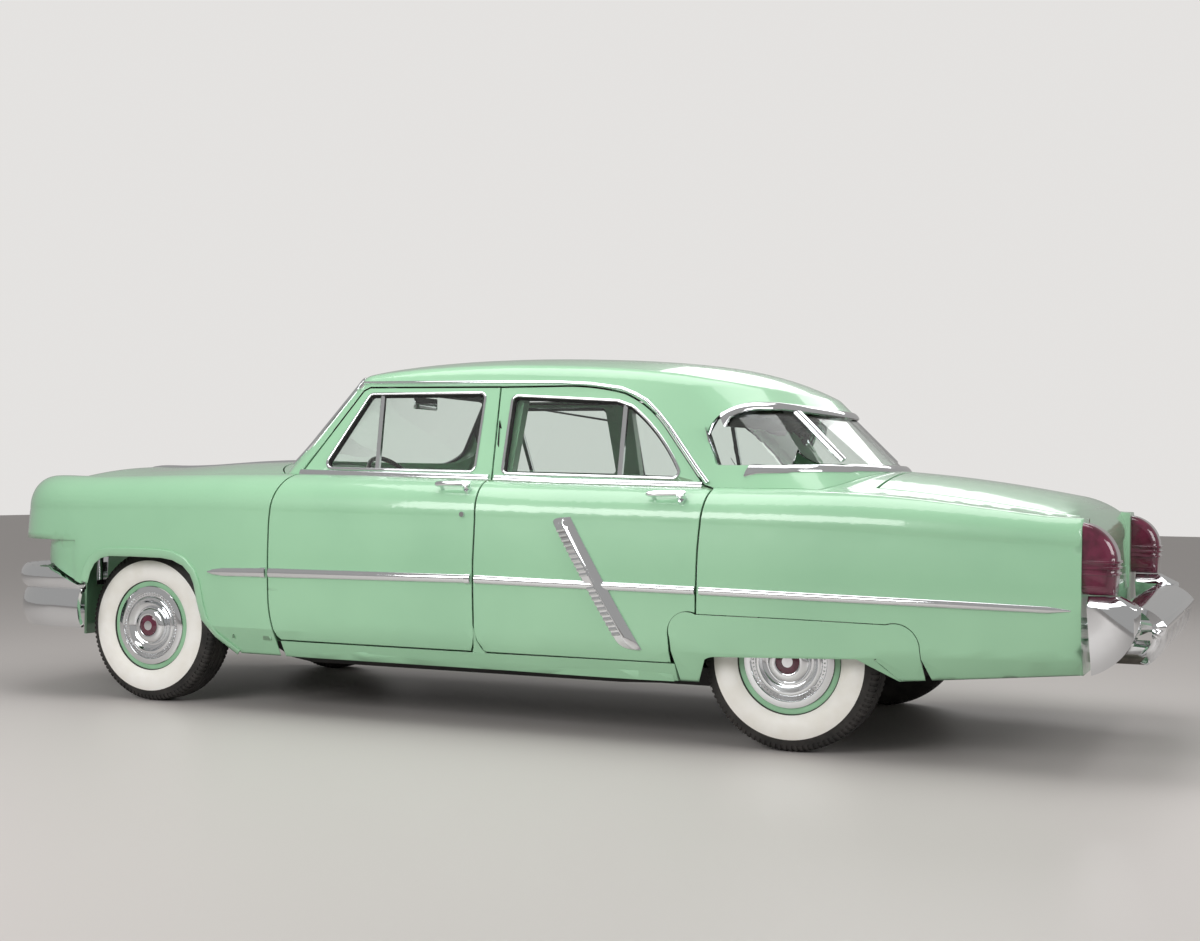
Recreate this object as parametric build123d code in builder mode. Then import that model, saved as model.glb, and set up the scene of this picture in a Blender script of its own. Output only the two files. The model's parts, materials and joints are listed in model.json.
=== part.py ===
from build123d import *
import math
import os

os.makedirs("parts", exist_ok=True)

# A full-size four-door sedan of the early 1950s, standing on the ground at Z = 0.
# Its front points to -X and its left side to -Y. Lengths are in millimetres.

# Stance and running gear
wheelbase = 3124
front_axle_x = -1790
rear_axle_x = front_axle_x + wheelbase
tread = 1486
hub_z = 355
tyre_radius = 355
tread_width = 150
tyre_width = 206
bead_radius = 186
flange_radius = 200
rim_width = 150
rim_wall = 8
disc_place = 18
disc_wall = 9
cover_radius = 183
cover_crown = 26
hub_radius = 30
stud_circle = 114.3
stud_size = 12.7
stud_count = 5
kingpin_inset = 95
spindle_radius = 29.7
backing_radius = 148
axle_tube_radius = 38
carrier_radius = 135

# Body shell
sheet = 14
panel_gap = 6
fit_gap = 0.3
floor_z = 330
floor_wall = 12
nose_x = -2640
tail_x = 2446
nose_corner = 360
nose_reach = 225
nose_drop = 160
nose_lip_z = 752
nose_recess = 147
blade_y = 700
bumper_end_x = 2719

# Greenhouse
pillar_depth = 45
glass_depth = 16
glass_wall = 6
roof_round = 80
waist_z = 1000
cab_height = 1750
crown_half_width = 950
crown_drop = 165

# Doors
door_lining_y = 845
belt_lining_y = 765
lining_knee_z = 600
belt_z = 1050
rabbet = 13
door_gap = 8
hinge_y = 950
hinge_inset = 40
hinge_pin = 3.5
hinge_ring = 7
hinge_arm = 8
hinge_slot = 13
hinge_heights = (560, 800)

# Ladder frame: distance of the rails from the middle at the front, in the middle and at the back
rail_wall = 66
rail_front_y = 340
rail_mid_y = 520
rail_back_y = 470

# Hinges of the hood and the trunk lid: small eyes let into their edges
lid_gap = 12
small_pin = 3.5
small_ring = 6.5
small_eye = 9
small_slot = 12
hood_hinge = (-1211, 600, 1071)
lid_hinge = (1650, 90, 1094.5)

# Cross-sections of the lower body, front to rear, for one half.
# x, sill y, sill z, low crease y, low crease z, widest y, shoulder y, shoulder z,
# crest y, crest z, valley y, valley z, centre z
section_rows = [
    (nose_x + nose_corner, 850, 257, 925, 380, 955, 935, 895, 800, 1056, 640, 1040, 1106),
    (front_axle_x, 860, 257, 935, 380, 957, 946, 900, 800, 1062, 650, 1050, 1128),
    (-900, 875, 257, 946, 380, 964, 956, 900, 822, 1070, 690, 1060, 1128),
    (100, 880, 257, 948, 380, 966, 958, 895, 832, 1048, 700, 1044, 1100),
    (1050, 880, 260, 946, 385, 966, 958, 884, 840, 1026, 720, 1032, 1120),
    (1700, 872, 300, 936, 398, 958, 952, 862, 868, 1006, 730, 1010, 1098),
    (2150, 860, 340, 922, 410, 948, 940, 840, 882, 958, 735, 962, 1040),
    (tail_x, 850, 366, 910, 420, 935, 928, 830, 885, 932, 735, 925, 985),
]
nose_steps = [8, 45, 120, 220]

# Greenhouse outlines at the waist and at the cab height.
# z, half width, windscreen centre x, windscreen corner x, backlight centre x,
# backlight corner x, windscreen corner radius, backlight corner radius
cab_rows = [
    (waist_z, 822, -1420, -1087, 1686, 1400, 110, 380),
    (cab_height, 552, -756, -566, 943, 745, 90, 280),
]
# Height of the roof line along the car: x, z
roof_rows = [
    (-1400, 1300), (-950, 1535), (-600, 1602), (-150, 1620), (300, 1610), (700, 1580),
    (1000, 1528), (1200, 1455), (1500, 1260), (1750, 1050),
]


# Outlines seen from the left: x, z
front_door_line = ((-995, 338), ((-1018, 420), (-1028, 523)), (-1028, 819), ((-1019, 940), (-985, 1049)),
                   (-728, 1448), (-700, 1462), (-36, 1454), (-2, 1060), ((2, 960), (0, 717)), (0, 450),
                   ((-4, 375), (-25, 333)))
rear_door_line = ((52, 333), ((24, 375), (door_gap, 470)), (door_gap, 717), ((10, 960), (6, 1060)),
                  (-28, 1453), (250, 1453), ((430, 1443), (560, 1418)), ((676, 1354), (782, 1252)), (968, 1034),
                  (1020, 1018), ((1003, 880), (995, 747)), (990, 540), ((906, 524), (874, 437)), (878, 336))
front_window_line = ((-858, 1103), (-90, 1090), (-103, 1430), (-688, 1434))
rear_window_line = ((50, 1084), (866, 1068), ((738, 1246), (602, 1364)), (530, 1388), (38, 1416))
front_arch_line = ((-2700, 100), (-2700, 636), (-2310, 636), (-2098, 548), (-2075, 576), ((-2048, 650), (-1985, 698)),
                   (-1620, 702), ((-1500, 675), (-1427, 579)), (-1412, 494), (-1366, 346),
                   ((-1319, 281), (-1237, 256)), (-1237, 100))
bumper_end_line = ((-2800, 800), (-2800, 629), (-2312, 629), (-2104, 541), (-2000, 541), (-2000, 800))
skirt_line = ((905, 200), (890, 350), (882, 437), ((895, 512), (992, 532)), (1350, 530), (1746, 524),
              ((1845, 500), (1869, 439)), (1890, 200))
skirt_cut_line = ((984, 200), (988, 262), ((1015, 350), (1062, 368)), (1630, 389), ((1700, 360), (1778, 305)),
                  (1790, 200))
tail_line = ((2235, 1200), (2235, 1024), ((2392, 958), (2432, 800)), (2440, 600), (2600, 600), (2600, 1200))


def trace(start, *legs):
    """Draw a closed outline. A leg of one point is straight, a leg of two is an arc through the first."""
    here = start
    for leg in legs + (start,):
        if isinstance(leg[0], tuple):
            ThreePointArc(here, leg[0], leg[1])
            here = leg[1]
        elif leg != here:
            Line(here, leg)
            here = leg


def side_prism(near, far, *outline):
    """Prism behind an outline of the left side, between two distances from the middle plane."""
    with BuildPart() as prism:
        with BuildSketch(Plane.XZ.offset(near)):
            with BuildLine():
                trace(*outline)
            make_face()
        extrude(amount=far - near)
    return prism.part


def grown(outline, amount, near=500, far=1100):
    """The prism of an outline whose edge is moved outwards, or inwards if negative."""
    with BuildPart() as prism:
        with BuildSketch(Plane.XZ.offset(near)) as sketch:
            with BuildLine():
                trace(*outline)
            make_face()
            if amount:
                offset(sketch.sketch, amount=amount, kind=Kind.ARC, mode=Mode.REPLACE)
        extrude(amount=far - near)
    return prism.part


def plan_prism(low, high, *outline):
    """Prism over an outline seen from above, between two heights."""
    with BuildPart() as prism:
        with BuildSketch(Plane.XY.offset(low)):
            with BuildLine():
                trace(*outline)
            make_face()
        extrude(amount=high - low)
    return prism.part


def cross_prism(front, back, *outline):
    """Prism behind an outline of the cross-section, between two places along the car."""
    with BuildPart() as prism:
        with BuildSketch(Plane.YZ.offset(front)):
            with BuildLine():
                trace(*outline)
            make_face()
        extrude(amount=back - front)
    return prism.part


def write(part, name):
    """Label a finished piece and write it under its own name."""
    part.label = name
    export_step(part, f"parts/{name}.step")


def both_sides(part, name):
    """Write a left-hand piece and its mirror image."""
    write(part, name + "_left")
    write(mirror(part, about=Plane.XZ), name + "_right")


def nose_row(behind_tip):
    """The foremost cross-sections draw in along a quarter circle in plan and in profile."""
    x, sill, sz, low, lz, wide, shoulder, uz, crest, cz, valley, vz, top = section_rows[0]
    plan = nose_corner - math.sqrt(nose_corner**2 - (nose_corner - behind_tip) ** 2)
    reach = max(0, nose_reach - behind_tip) / nose_reach
    dip = nose_drop * (1 - math.sqrt(1 - reach**2))
    return (nose_x + behind_tip, sill - plan, sz, low - plan, lz, wide - plan, shoulder - plan, uz - dip * 0.3,
            crest - plan * 0.8, cz - dip, valley - plan * 0.45, vz - dip * 0.92, top - dip * 1.15)


body_rows = [nose_row(step) for step in nose_steps] + section_rows


def body_loft(inset):
    """Solid lofted through the cross-sections, drawn in by inset and then open downwards."""
    with BuildPart() as form:
        for row in body_rows:
            x, sill, sz, low, lz, wide, shoulder, uz, crest, cz, valley, vz, top = row
            x += inset * ((row is body_rows[0]) - (row is body_rows[-1]))
            sz = -100 if inset else sz
            sill, low, wide, shoulder = sill - inset, low - inset, wide - inset, shoulder - inset
            crest, valley = crest - inset * 0.45, valley - inset * 0.2
            cz, vz, top, uz = cz - inset, vz - inset, top - inset, uz - inset * 0.3
            with BuildSketch(Plane.YZ.offset(x)):
                with BuildLine():
                    Line((-sill, sz), (sill, sz))
                    for side in (1, -1):
                        Line((side * sill, sz), (side * low, lz))
                        ThreePointArc((side * low, lz), (side * wide, (lz + uz) / 2), (side * shoulder, uz))
                        ThreePointArc(
                            (side * shoulder, uz),
                            (side * (crest + (shoulder - crest) * 0.76), uz + (cz - uz) * 0.66),
                            (side * crest, cz),
                        )
                        ThreePointArc(
                            (side * crest, cz),
                            (side * (crest + valley) / 2, cz * 0.62 + vz * 0.38 + 4),
                            (side * valley, vz),
                        )
                    ThreePointArc((valley, vz), (0, top), (-valley, vz))
                make_face()
        loft()
    return form.part


def body_form(inset):
    """Solid of the lower body with the turned-down tail and the overhanging nose."""
    whole = body_loft(inset)
    with BuildPart() as under_nose:
        with Locations((nose_x - 100, 0, nose_lip_z + inset)):
            Box(nose_corner + nose_recess + 100, 2200, 1200, align=(Align.MIN, Align.CENTER, Align.MAX))
        add(whole.moved(Location((nose_recess, 0, 0))), mode=Mode.SUBTRACT)
    with BuildPart() as form:
        add(whole)
        add(grown(tail_line, inset, -blade_y - inset, blade_y + inset), mode=Mode.SUBTRACT)
        add(under_nose.part, mode=Mode.SUBTRACT)
    return form.part


def cab_form(inset):
    """Tapering solid whose sides are the windows' planes, drawn in by inset."""
    with BuildPart() as form:
        for z, half, front, front_corner, rear, rear_corner, front_round, rear_round in cab_rows:
            half, front, rear = half - inset, front + inset, rear - inset
            front_corner, rear_corner = front_corner + inset, rear_corner - inset
            with BuildSketch(Plane.XY.offset(z)) as outline:
                with BuildLine():
                    trace((front_corner, -half), ((front, 0), (front_corner, half)), (rear_corner, half),
                          ((rear, 0), (rear_corner, -half)))
                make_face()
                corners = outline.vertices().sort_by(Axis.X)
                fillet(corners[:2], radius=front_round)
                corners = outline.vertices().filter_by(lambda v: math.isclose(v.X, rear_corner, abs_tol=1))
                fillet(corners, radius=rear_round)
        loft(ruled=True)
    return form.part


def roof_form(inset):
    """Solid under the roof's crown, drawn in by inset."""
    half = crown_half_width
    with BuildPart() as form:
        for x, z in roof_rows:
            edge_z, base_z = z - inset - crown_drop, 600
            with BuildSketch(Plane.YZ.offset(x)):
                with BuildLine():
                    trace((-half, edge_z), ((0, z - inset), (half, edge_z)), (half, base_z), (-half, base_z))
                make_face()
        loft()
    return form.part


def house_form(inset, edge_round):
    """Solid of the whole greenhouse with its rounded roof edge."""
    with BuildPart() as form:
        add(cab_form(inset))
        add(roof_form(inset), mode=Mode.INTERSECT)
        crown = form.faces().filter_by(lambda f: f.center().Z > 1500).sort_by(Axis.Z)[-1]
        fillet(crown.edges(), radius=edge_round)
    return form.part


outer_body = body_form(0)
inner_body = body_form(sheet)
outer_house = house_form(0, roof_round)
inner_house = house_form(pillar_depth, roof_round - pillar_depth * 0.6)

with BuildPart() as skin:
    add(outer_body)
    add(inner_body, mode=Mode.SUBTRACT)
    add(inner_house, mode=Mode.SUBTRACT)
skin = skin.part
with BuildPart() as lining_space:
    add(inner_body)
    add(cab_form(sheet))
lining_space = lining_space.part

def window_prism(outline, corner, grow=0):
    """Prism of a window opening with rounded corners."""
    with BuildPart() as prism:
        with BuildSketch(Plane.XZ.offset(500)) as sketch:
            with BuildLine():
                trace(*outline)
            make_face()
            if grow:
                offset(sketch.sketch, amount=grow, kind=Kind.INTERSECTION, mode=Mode.REPLACE)
            fillet(sketch.vertices(), radius=corner)
        extrude(amount=600)
    return prism.part


front_door_space = grown(front_door_line, door_gap)
rear_door_space = grown(rear_door_line, door_gap)
front_window = window_prism(front_window_line, 26)
rear_window = window_prism(rear_window_line, 22)

# The cabin between the door linings, from the toe board to the rear seat
cabin_front_x = -1150
cabin_back_x = 1180
cabin = cross_prism(cabin_front_x, cabin_back_x, (-door_lining_y, 0), (-door_lining_y, lining_knee_z),
                    (-belt_lining_y, belt_z + 20), (belt_lining_y, belt_z + 20), (door_lining_y, lining_knee_z),
                    (door_lining_y, 0))

# Doors: an outer panel and a lining in one body, with a window frame that leans in
with BuildPart() as door_blank:
    add(outer_body)
    add(outer_house)
    add(cabin, mode=Mode.SUBTRACT)
    add(inner_house, mode=Mode.SUBTRACT)
door_blank = door_blank.part


def make_door(outline, window, hinge_x):
    """One left-hand door, with a rebate round its lining and slots for the hinges."""
    prism = grown(outline, 0)
    with BuildPart() as rim:
        add(prism)
        add(grown(outline, -rabbet), mode=Mode.SUBTRACT)
        add(lining_space, mode=Mode.INTERSECT)
    with BuildPart() as door:
        add(door_blank)
        add(prism, mode=Mode.INTERSECT)
        add(window, mode=Mode.SUBTRACT)
        add(rim.part, mode=Mode.SUBTRACT)
        for z in hinge_heights:
            with Locations((hinge_x + hinge_ring + 4, -(hinge_y + hinge_ring + 1), z)):
                Box(hinge_inset + 2 * hinge_ring, 180, hinge_slot, align=(Align.MAX, Align.MIN, Align.CENTER),
                    mode=Mode.SUBTRACT)
            with Locations((hinge_x, -hinge_y, z)):
                Cylinder(hinge_pin, hinge_slot + 2)
    return door.part


front_hinge_x = front_door_line[2][0] + hinge_inset
rear_hinge_x = door_gap + hinge_inset
front_door = make_door(front_door_line, front_window, front_hinge_x)
rear_door = make_door(rear_door_line, rear_window, rear_hinge_x)
both_sides(front_door, "front_door")
both_sides(rear_door, "rear_door")

# Window panes follow the planes of the greenhouse
with BuildPart() as pane_blank:
    add(cab_form(glass_depth))
    add(cab_form(glass_depth + glass_wall), mode=Mode.SUBTRACT)
    add(roof_form(sheet), mode=Mode.INTERSECT)
pane_blank = pane_blank.part


def make_pane(opening):
    """Glass that fills an opening of the greenhouse."""
    with BuildPart() as pane:
        add(pane_blank)
        add(opening, mode=Mode.INTERSECT)
    return pane.part


def end_window(front, back, low, high, low_half, high_half, corner, rise):
    """Opening of the windscreen or of the backlight, seen along the car, with a bowed upper edge."""
    with BuildPart() as opening:
        with BuildSketch(Plane.YZ.offset(front)) as sketch:
            with BuildLine():
                trace((-low_half, low), (low_half, low), (high_half, high), ((0, high + rise), (-high_half, high)))
            make_face()
            fillet(sketch.vertices(), radius=corner)
        extrude(amount=back - front)
    return opening.part


windscreen_opening = end_window(-1500, -700, 1140, 1486, 735, 600, 60, 22)
with BuildPart() as backlight_opening:
    add(end_window(1000, 1700, 1128, 1384, 640, 540, 40, -20))
    add(window_prism(((1010, 1120), (1300, 1120), (1300, 1384), (1130, 1380), ((1010, 1340), (948, 1250))), 18))
    mirror(about=Plane.XZ)
backlight_opening = backlight_opening.part
both_sides(make_pane(front_window), "front_door_glass")
both_sides(make_pane(rear_window), "rear_door_glass")
write(make_pane(windscreen_opening), "windscreen")
write(make_pane(backlight_opening), "backlight")

# Roof with the windscreen pillars and the rear quarters, down to the body's skin
with BuildPart() as roof:
    add(outer_house)
    add(inner_house, mode=Mode.SUBTRACT)
    add(outer_body, mode=Mode.SUBTRACT)
    for line in (front_door_line, rear_door_line):
        add(grown(line, door_gap, -1100, 1100), mode=Mode.SUBTRACT)
    add(windscreen_opening, mode=Mode.SUBTRACT)
    add(backlight_opening, mode=Mode.SUBTRACT)
write(roof.part, "roof")

# Skin of the lower body in panels
nose_edge_z = 930
lid_edge_z = 700
cowl_back_x = -900
nose_panel_half = 500
deck_front_x = 1000
deck_half = 660
sill_back_x = 880
firewall_x = -1250


def hood_prism(gap):
    """Prism over the hood, wider by a gap on every side."""
    back, front = -1185 + gap * lid_gap / panel_gap, -2555 - gap
    return plan_prism(
        nose_edge_z - gap, 1400, (back, 618 + gap), (front_axle_x, 620 + gap), (-2300, 604 + gap), (front, 532 + gap),
        ((-2612 - gap, 0), (front, -532 - gap)), (-2300, -604 - gap), (front_axle_x, -620 - gap), (back, -618 - gap),
        ((-1440 + gap * lid_gap / panel_gap, 0), (back, 618 + gap)))


def lid_prism(gap):
    """Prism over the trunk lid, wider by a gap on every side."""
    front, back = 1640 - gap * lid_gap / panel_gap, 2600
    return plan_prism(
        lid_edge_z - gap, 1400, (front, 640 + gap), (2200, 672 + gap), (back, 672 + gap), (back, -672 - gap),
        (2200, -672 - gap), (front, -640 - gap))


def block(x, y, z):
    """Box between two places along each axis."""
    with BuildPart() as box:
        with Locations((x[0], y[0], z[0])):
            Box(x[1] - x[0], y[1] - y[0], z[1] - z[0], align=(Align.MIN, Align.MIN, Align.MIN))
    return box.part


def cut_panel(sheet_metal, *tools):
    """Sheet metal kept inside the tools marked 1 and cut away by the tools marked -1."""
    with BuildPart() as piece:
        add(sheet_metal)
        for sign, tool in tools:
            add(tool, mode=Mode.INTERSECT if sign > 0 else Mode.SUBTRACT)
    return piece.part


def panel(*tools):
    """A panel cut from the body's whole skin."""
    return cut_panel(skin, *tools)


def hung_panel(sheet_metal, place, away):
    """A lid with two slots for its hinges at the edge that lies in the direction away, and their pins."""
    x, y, z = place
    with BuildPart() as lid:
        add(sheet_metal)
        for side in (-1, 1):
            with Locations((x + away * 6, side * y, z)):
                Box(2 * small_slot + 4, small_slot, 60, mode=Mode.SUBTRACT)
            with Locations(Location((x, side * y, z), (90, 0, 0))):
                Cylinder(small_pin, small_slot + 2)
    return lid.part


def hinge_eyes(place, reach):
    """Eyes round a lid's hinge pins, each on an arm of a given reach along the car."""
    x, y, z = place
    with BuildPart() as eyes:
        for side in (-1, 1):
            with BuildSketch(Plane.XZ.offset(side * y - small_eye / 2)):
                with Locations((x, z)):
                    Circle(small_ring)
                with Locations((x + reach / 2, z)):
                    Rectangle(abs(reach), small_eye)
                with Locations((x, z)):
                    Circle(small_pin + fit_gap, mode=Mode.SUBTRACT)
            extrude(amount=small_eye)
    return eyes.part


hood_space = hood_prism(panel_gap)
lid_space = lid_prism(panel_gap)
cowl_space = block((-1600, cowl_back_x), (-618 - panel_gap, 618 + panel_gap), (900, 1400))
deck_space = block((deck_front_x, 1700), (-deck_half, deck_half), (900, 1400))
nose_space = block((-2800, -2350), (-nose_panel_half, nose_panel_half), (-200, 1400))
rear_space = block((2250, 2600), (-blade_y - sheet, blade_y + sheet), (-200, lid_edge_z - panel_gap))
arch = side_prism(500, 1100, *front_arch_line)
skirt_prism = grown(skirt_line, 0)
front_left = block((-2800, -930), (-1100, -300), (-200, 1400))
rear_left = block((900, 2600), (-1100, -300), (-200, 1400))
side_skin = panel((-1, hood_space), (-1, lid_space), (-1, cowl_space), (-1, deck_space), (-1, nose_space),
                  (-1, rear_space))

write(hung_panel(panel((1, hood_prism(0))), hood_hinge, 1), "hood")
write(hung_panel(panel((1, lid_prism(0))), lid_hinge, -1), "trunk_lid")
lamp_y, lamp_z, lamp_radius = 640, 862, 100
with BuildPart() as lamp_hole:
    with Locations(Location((-2700, -lamp_y, lamp_z), (0, 90, 0))):
        Cylinder(lamp_radius + fit_gap, 320, align=(Align.CENTER, Align.CENTER, Align.MIN))
fender = cut_panel(side_skin, (1, front_left), (-1, front_door_space), (-1, arch), (-1, lamp_hole.part),
                   (-1, block((-995, -800), (-1100, 0), (-200, 336))))
both_sides(fender, "front_fender")
quarter = cut_panel(side_skin, (1, rear_left), (-1, rear_door_space), (-1, grown(skirt_line, panel_gap / 2)),
                    (-1, block((850, 1000), (-1100, 0), (-200, 500))))
both_sides(quarter, "rear_quarter")
skirt = panel((1, skirt_prism), (-1, side_prism(500, 1100, *skirt_cut_line)))
with BuildPart() as skirts:
    add(skirt)
    mirror(skirt, about=Plane.XZ)
write(skirts.part, "fender_skirts")
with BuildPart() as deck:
    add(panel((1, deck_space), (-1, lid_space)))
    add(hinge_eyes(lid_hinge, -34))
write(deck.part, "deck_panel")
rear_rail_y = rail_back_y + rail_wall / 2
bumper_slots = [block((2300, 2500), (side * rear_rail_y - 30, side * rear_rail_y + 30), (404, 486)) for side in (-1, 1)]
write(panel((1, rear_space), *[(-1, slot) for slot in bumper_slots]), "rear_panel")
nose_opening = block((-2600, -2400), (-430, 430), (500, 735))
bracket_z = 345
rail_front_x = -2466
nose_slots = block((-2600, -2400), (-410, 410), (-200, bracket_z + 45))
write(panel((1, nose_space), (-1, hood_space), (-1, nose_opening), (-1, nose_slots)), "nose_panel")

# Cowl with the firewall, the hinge pillars and their hinge arms
pillar_face_x = front_door_line[2][0] - door_gap
pillar_wide = (800, 936)


def hinge_arms(hinge_x, root_x, roots):
    """Bent arms of one side's hinges: inwards from the eye round the pin, then forwards to the pillar."""
    with BuildPart() as arms:
        for z, root_y in zip(hinge_heights, roots):
            with BuildSketch(Plane.XY.offset(z - hinge_arm / 2)):
                with Locations((hinge_x, (-hinge_y - root_y) / 2)):
                    Rectangle(10, hinge_y - root_y + 10)
                with Locations(((hinge_x + root_x) / 2, -root_y)):
                    Rectangle(hinge_x - root_x, 10)
                with Locations((hinge_x, -hinge_y)):
                    Circle(hinge_ring)
                    Circle(hinge_pin + fit_gap, mode=Mode.SUBTRACT)
            extrude(amount=hinge_arm)
    return arms.part


with BuildPart() as cowl_walls:
    add(block((firewall_x, firewall_x + floor_wall), (-1000, 1000), (floor_z + fit_gap, 1200)))
    for y in ((-pillar_wide[1], -pillar_wide[0]), (pillar_wide[0], pillar_wide[1])):
        add(block((pillar_face_x - 44, pillar_face_x), y, (floor_z + fit_gap, belt_z - 30)))
    for y in (-pillar_wide[0] - 10, pillar_wide[0]):
        add(block((firewall_x, pillar_face_x - 30), (y, y + 10), (floor_z + fit_gap, belt_z - 30)))
    add(inner_body, mode=Mode.INTERSECT)
    add(block((-1300, -900), (-1000, 1000), (-100, 300)), mode=Mode.SUBTRACT)
front_arms = hinge_arms(front_hinge_x, pillar_face_x - 12, (890, 890))
with BuildPart() as cowl:
    add(panel((1, cowl_space), (-1, hood_space)))
    add(cowl_walls.part)
    add(front_arms)
    mirror(front_arms, about=Plane.XZ)
    add(hinge_eyes(hood_hinge, 34))
write(cowl.part, "cowl")

# Centre pillars between the doors, inside the door linings and up to the roof
pillar_x = (-24, 66)
post_clear = 8
with BuildPart() as roof_lining:
    add(block((-100, 100), (-1000, 1000), (1100, 1700)))
    add(inner_house.moved(Location((0, 0, -fit_gap))), mode=Mode.SUBTRACT)
rear_arms = hinge_arms(rear_hinge_x, rear_hinge_x - 20, (814, 774))
with BuildPart() as centre_pillar:
    with BuildSketch(Plane.YZ.offset(pillar_x[0])):
        with BuildLine():
            trace((-door_lining_y + post_clear, floor_z + fit_gap), (-door_lining_y + post_clear, lining_knee_z),
                  (-750, belt_z), (-598, 1462), (-560, 1560), (-500, 1560), (-548, 1462), (-700, belt_z),
                  (-790, lining_knee_z), (-790, floor_z + fit_gap))
        make_face()
    extrude(amount=pillar_x[1] - pillar_x[0])
    add(roof_lining.part, mode=Mode.SUBTRACT)
    add(rear_arms)
    mirror(about=Plane.XZ)
write(centre_pillar.part, "centre_pillars")

# Floor pan with the hollow sills under the doors, stepped up over the rear axle
trunk_floor_z = 520
axle_step_x = 830
sill_front_x = -990
trunk_half = 600
with BuildPart() as floor_pan:
    with BuildSketch(Plane.XZ.offset(-trunk_half)):
        with BuildLine():
            Polyline((firewall_x, floor_z - floor_wall), (axle_step_x, floor_z - floor_wall),
                     (axle_step_x, trunk_floor_z), (2410, trunk_floor_z), (2410, trunk_floor_z + floor_wall),
                     (axle_step_x - floor_wall, trunk_floor_z + floor_wall), (axle_step_x - floor_wall, floor_z),
                     (firewall_x, floor_z), close=True)
        make_face()
    extrude(amount=2 * trunk_half)
    for y in ((-840, -600), (600, 840)):
        add(block((firewall_x, sill_back_x), y, (floor_z - floor_wall, floor_z)))
sill_box = block((sill_front_x, sill_back_x - 4), (-1000, -836), (-50, 333 - panel_gap))
with BuildPart() as sill:
    add(outer_body)
    add(sill_box, mode=Mode.INTERSECT)
with BuildPart() as floor_whole:
    add(floor_pan.part)
    add(sill.part)
    mirror(sill.part, about=Plane.XZ)
write(floor_whole.part, "floor_pan")

# Ladder frame, narrow between the front wheels and kicked up over the rear axle
with BuildPart() as rail_plan:
    with BuildSketch(Plane.XY.offset(100)):
        with BuildLine():
            inner_line = [(-2500, -rail_front_y), (-1330, -rail_front_y), (-1050, -rail_mid_y), (520, -rail_mid_y),
                          (680, -rail_back_y), (2440, -rail_back_y)]
            Polyline(*inner_line, *[(x, y - rail_wall) for x, y in reversed(inner_line)], close=True)
        make_face()
    extrude(amount=600)
with BuildPart() as rail:
    add(rail_plan.part)
    add(side_prism(300, 700, (rail_front_x, 300), (-1500, 300), (-1300, 200), (900, 200), (1130, 430), (1640, 430),
                   (1900, 400), (2405, 400), (2405, 490), (1920, 490), (1660, trunk_floor_z), (1090, trunk_floor_z),
                   (axle_step_x + 20, floor_z - floor_wall), (-1270, floor_z - floor_wall), (-1470, 390),
                   (rail_front_x, 390)),
        mode=Mode.INTERSECT)
with BuildPart() as chassis:
    add(rail.part)
    mirror(rail.part, about=Plane.XZ)
    for x, half, low, high in ((-2420, rail_front_y, 310, 380), (-1180, rail_mid_y - 55, 240, 300),
                               (-300, rail_mid_y, 215, 275), (700, rail_mid_y, 215, 275),
                               (1720, rail_back_y, 440, 490), (2360, rail_back_y, 410, 470)):
        with Locations((x, 0, (low + high) / 2)):
            Box(70, 2 * half + 10, high - low)
write(chassis.part, "chassis_frame")

# Front suspension: cross member with the lower and upper arms
knuckle_y = tread / 2 - kingpin_inset
lower_ball_z = 240
upper_ball_z = 470
ball_radius = 17
boss_radius = 21
with BuildPart() as front_suspension:
    with Locations((front_axle_x, 0, 300)):
        Box(130, 2 * 340, 58)
    for side in (-1, 1):
        for z, root_z, half in ((lower_ball_z, 330, 120), (upper_ball_z, 478, 90)):
            y0, y1 = side * 424, side * knuckle_y
            for dx in (-half, half):
                path = Edge.make_line((front_axle_x + dx, y0, root_z), (front_axle_x, y1, z))
                with BuildSketch(Plane(origin=path @ 0, z_dir=path % 0)):
                    Circle(15)
                extrude(amount=path.length)
            with Locations((front_axle_x, y1, z)):
                Cylinder(boss_radius, 30)
                Cylinder(ball_radius - 4 + fit_gap, 110, mode=Mode.SUBTRACT)
        with Locations((front_axle_x, side * 378, 390)):
            Box(200, 64, 110, align=(Align.CENTER, Align.CENTER, Align.MIN))
        for z in (330, 478):
            with Locations(Location((front_axle_x, side * 424, z), (0, 90, 0))):
                Cylinder(18, 260)
write(front_suspension.part, "front_suspension")

# Steering knuckle with its stub axle and the brake's backing plate
with BuildPart() as knuckle:
    with Locations((front_axle_x, -knuckle_y, (lower_ball_z + upper_ball_z) / 2)):
        Cylinder(ball_radius, upper_ball_z - lower_ball_z - 70)
    with Locations((front_axle_x, -knuckle_y, (lower_ball_z + upper_ball_z) / 2)):
        Cylinder(ball_radius - 4, upper_ball_z - lower_ball_z + 36)
    with BuildSketch(Plane.XZ.offset(knuckle_y)):
        with Locations((front_axle_x, hub_z)):
            Circle(spindle_radius)
    extrude(amount=tread / 2 + disc_place + 24 - knuckle_y)
    with BuildSketch(Plane.XZ.offset(knuckle_y + 24)):
        with Locations((front_axle_x, hub_z)):
            Circle(backing_radius)
    extrude(amount=10)
both_sides(knuckle.part, "knuckle")

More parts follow.
